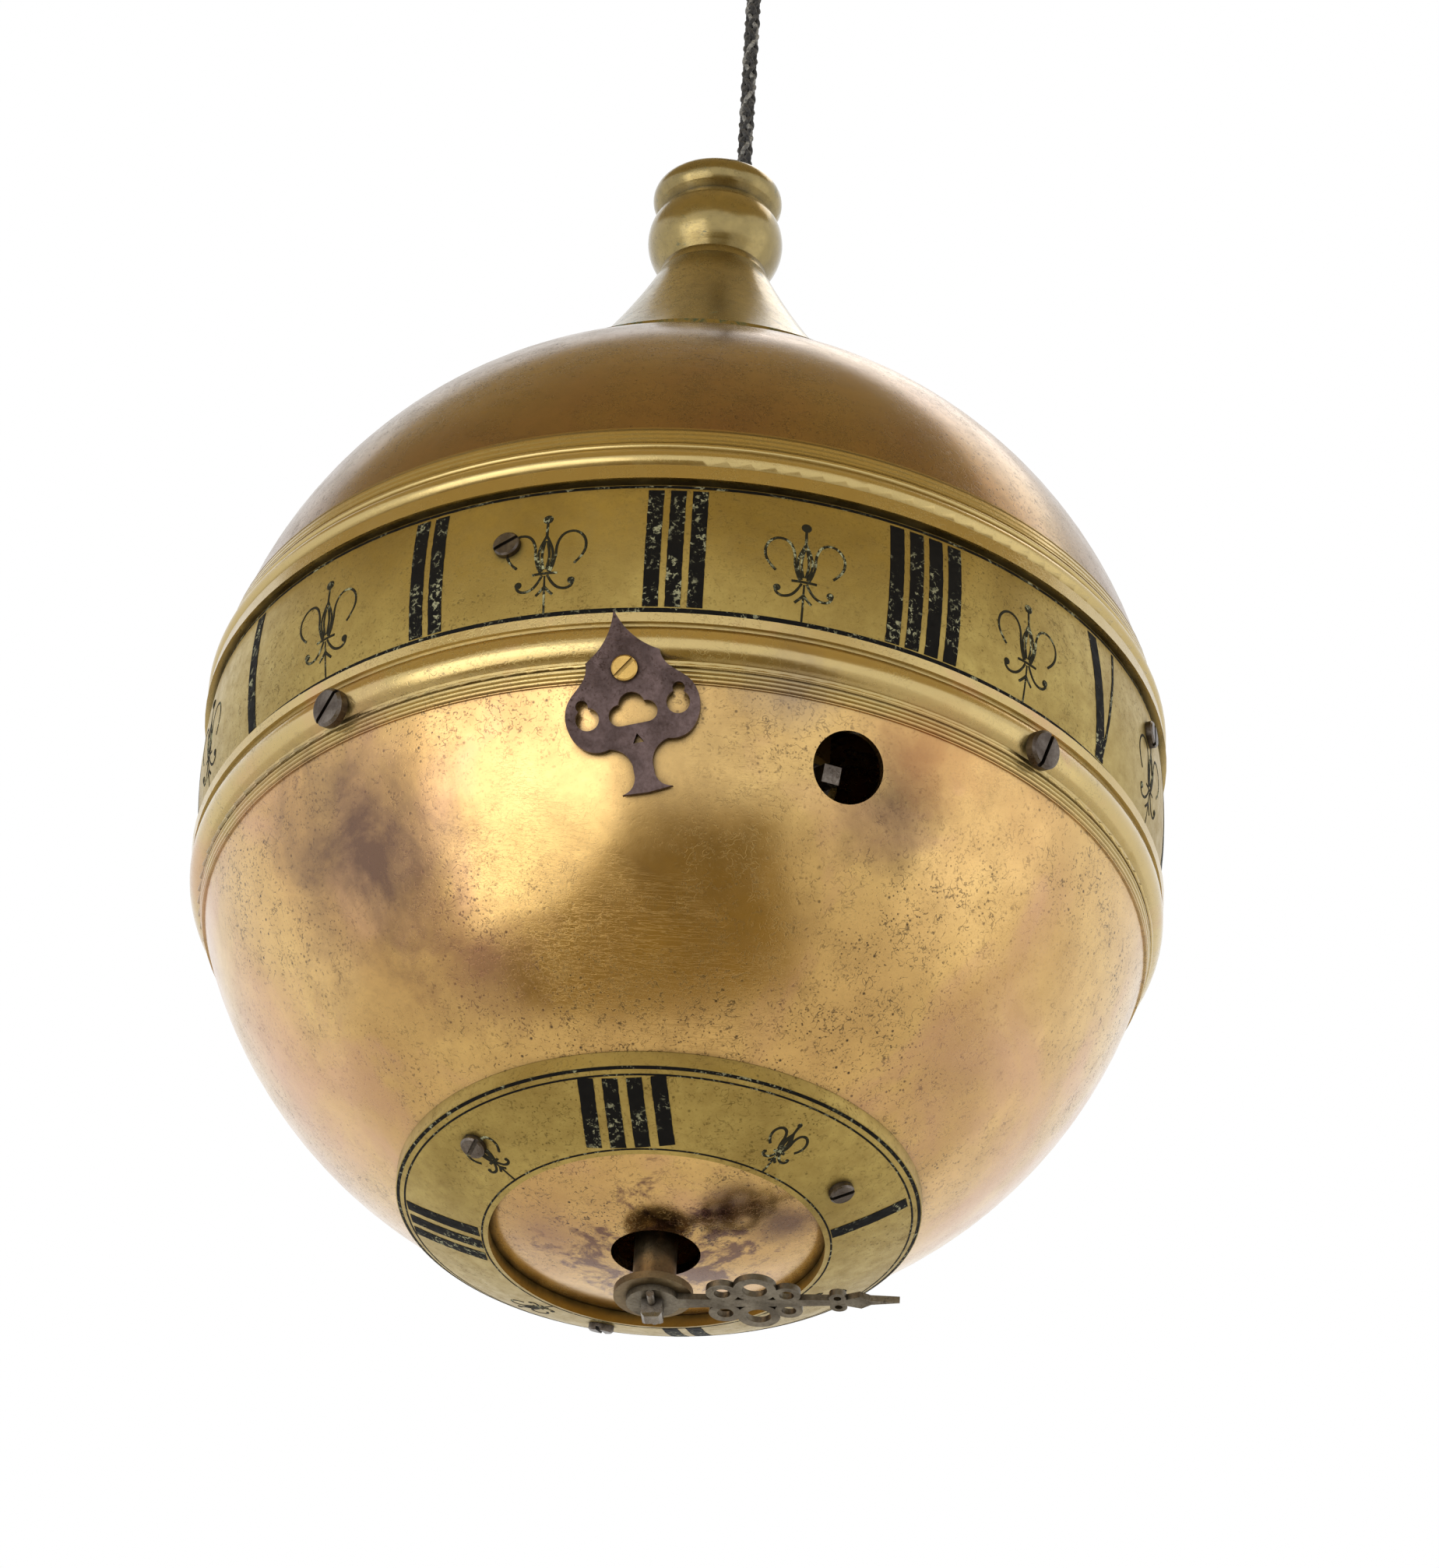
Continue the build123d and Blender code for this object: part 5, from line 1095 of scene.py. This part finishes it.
# %% Finishes of the model's pieces
FINISHES = {
    upper_brass: ["upper_dome"],
    gilt: ["lower_dome"],
    cast: ["finial"],
    band_brass: ["hour_band", "quarter_dial"],
    screw_steel: ["rim_screws", "band_screws", "dial_screws", "regulating_arbor"],
    pointer_steel: ["hour_pointer"],
    hand_steel: ["quarter_hand", "hanging_eye"],
    arbor_steel: ["centre_arbor", "hand_pin"],
    boss_brass: ["hand_pipe"],
    work_steel: [
        "small_screws", "plate_screws", "ring_screws", "centre_pinion", "sun_pinion", "drum_arbor",
        "idler_stud", "pulley_pin", "ratchet_wheel", "click", "rewind_spring", "third_arbor",
        "contrate_arbor", "crown_arbor", "verge", "balance_spring",
    ],
    black_thread: ["cord_lead", "cord_winding"],
}
named = {node for nodes in FINISHES.values() for node in nodes}
FINISHES[work_brass] = sorted(set(frame["nodes"]) - named - {"cord_hanging"})
for material, nodes in FINISHES.items():
    for node in nodes:
        slots = frame["nodes"][node].data.materials
        slots.clear()
        slots.append(material)
print("finished:", sum(len(nodes) for nodes in FINISHES.values()))

# %% [markdown]
# The hours stand every 30 degrees round the band, with their heads up and a lily halfway between
# them. III is almost at the front. Each is drawn flat and laid on the band at its azimuth.

# %% Numerals and lilies of the band
HOURS = ("I", "II", "III", "IIII", "V", "VI", "VII", "VIII", "IX", "X", "XI", "XII")
HOUR_STEP = 30.0
FIRST_HOUR = -62.5
NUMERAL_HALF = band_half - 0.85 * MM
BORDER = band_half - 0.55 * MM
LILY_SHIFT = -0.5 * MM
LILY_SIZE = 1.0


def flat_numeral(letters, low, high, pitch):
    """A way to draw a numeral between two heights."""
    def draw(drawing):
        numeral(drawing, letters, low, high, pitch)
        slab(drawing)
    return draw


def flat_lily(size, stalk_to, shift):
    """A way to draw a lily of a size."""
    def draw(drawing):
        lily(drawing, size, stalk_to, shift)
    return draw


band_lily = flat_lily(LILY_SIZE, -(BORDER + LILY_SHIFT) / MM, LILY_SHIFT)
for count, letters in enumerate(HOURS):
    azimuth = FIRST_HOUR + HOUR_STEP * count
    draw = flat_numeral(letters, -NUMERAL_HALF, NUMERAL_HALF, PITCH)
    lay(f"hour_{letters}", "hour_ring", draw, on_band, azimuth, wax_and_gap_shade)
    lay(
        f"lily_after_{letters}", "hour_ring", band_lily, on_band,
        azimuth + HOUR_STEP / 2, engraving,
    )
print("hours:", len(HOURS))

# %% [markdown]
# The quarters of the small dial are cut in the same way, with smaller lilies halfway between
# them and their heads outwards. Heights on the drawing are distances from the dial's middle.

# %% Numerals and lilies of the quarter dial
QUARTERS = ("IIII", "I", "II", "III")
QUARTER_STEP = 90.0
FIRST_QUARTER = -10.0
QUARTER_PITCH = 2.8 * MM
QUARTER_LOW = 20.4 * MM
QUARTER_HIGH = 29.0 * MM
QUARTER_LILY_R = 24.6 * MM
QUARTER_LILY_SIZE = 0.5
STALK_SHORT = 1.2

quarter_stalk = (dial_in - QUARTER_LILY_R) / MM / QUARTER_LILY_SIZE + STALK_SHORT
quarter_lily = flat_lily(QUARTER_LILY_SIZE, quarter_stalk, QUARTER_LILY_R)
for count, letters in enumerate(QUARTERS):
    azimuth = FIRST_QUARTER + QUARTER_STEP * count
    draw = flat_numeral(letters, QUARTER_LOW, QUARTER_HIGH, QUARTER_PITCH)
    lay(f"quarter_{letters}", "case", draw, on_dial, azimuth, wax_and_gap_shade)
    lay(
        f"quarter_lily_after_{letters}", "case", quarter_lily, on_dial,
        azimuth + QUARTER_STEP / 2, engraving,
    )
print("quarters:", len(QUARTERS))

# %% [markdown]
# Thin lines border the band and the dial, filled with wax. The band's two lines are drawn wide, so
# that they also paint the shadow of the dark gaps between the band and the domes. Each is a small
# flat section spun once round the axis, sunk in the brass so that only its top shows.

# %% Border lines, with the painted shadow of the band's gaps
RING_STEPS = 180
MERGE_WITHIN = 0.001 * MM
# Each line: its name, its height or radius on the drawing, and its width.
# The band's lines are wide because they also paint the shadow in the gaps beside the band.
BAND_LINES_AND_GAP_SHADOWS = (
    ("band_line_and_gap_shadow_low", 0.38 * MM - band_half, 0.62 * MM),
    ("band_line_and_gap_shadow_high", band_half - 0.3 * MM, 0.4 * MM),
)
DIAL_LINES = (
    ("dial_line_inner", dial_in + 0.7 * MM, 0.2 * MM),
    ("dial_line_outer", dial_out - 1.1 * MM, 0.2 * MM),
    ("dial_line_edge", dial_out - 0.3 * MM, 0.36 * MM),
)


def border(name, body, corners, material):
    """A closed ring line: its section is spun all the way round the ball's axis."""
    ring = bmesh.new()
    section = [ring.verts.new(corner) for corner in corners]
    edges = [ring.edges.new((a, b)) for a, b in zip(section, section[1:] + section[:1])]
    bmesh.ops.spin(
        ring, geom=section + edges, cent=(ball.x, 0, 0), axis=(0, 0, 1), angle=2 * math.pi,
        steps=RING_STEPS, use_merge=True,
    )
    bmesh.ops.remove_doubles(ring, verts=ring.verts, dist=MERGE_WITHIN)
    bmesh.ops.recalc_face_normals(ring, faces=ring.faces)
    mesh = bpy.data.meshes.new(name)
    ring.to_mesh(mesh)
    ring.free()
    mesh.materials.append(material)
    piece = bpy.data.objects.new(name, mesh)
    scene.collection.objects.link(piece)
    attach(piece, body)
    return piece


def section_at(surface, at, wide):
    """Four corners of a line's section, lying on a surface at a height."""
    half = wide / 2
    corners = ((at - half, -DEEP), (at + half, -DEEP), (at + half, RISE / 2), (at - half, RISE / 2))
    return [surface(0.0, Vector((0, height, rise))) for height, rise in corners]


# Painted shadow: the band's wide black lines stand for the shaded gaps at its edges.
for name, at, wide in BAND_LINES_AND_GAP_SHADOWS:
    border(name, "hour_ring", section_at(on_band, at, wide), wax_and_gap_shade)
for name, at, wide in DIAL_LINES:
    border(name, "case", section_at(on_dial, at, wide), wax_and_gap_shade)
print("border lines:", len(BAND_LINES_AND_GAP_SHADOWS) + len(DIAL_LINES))
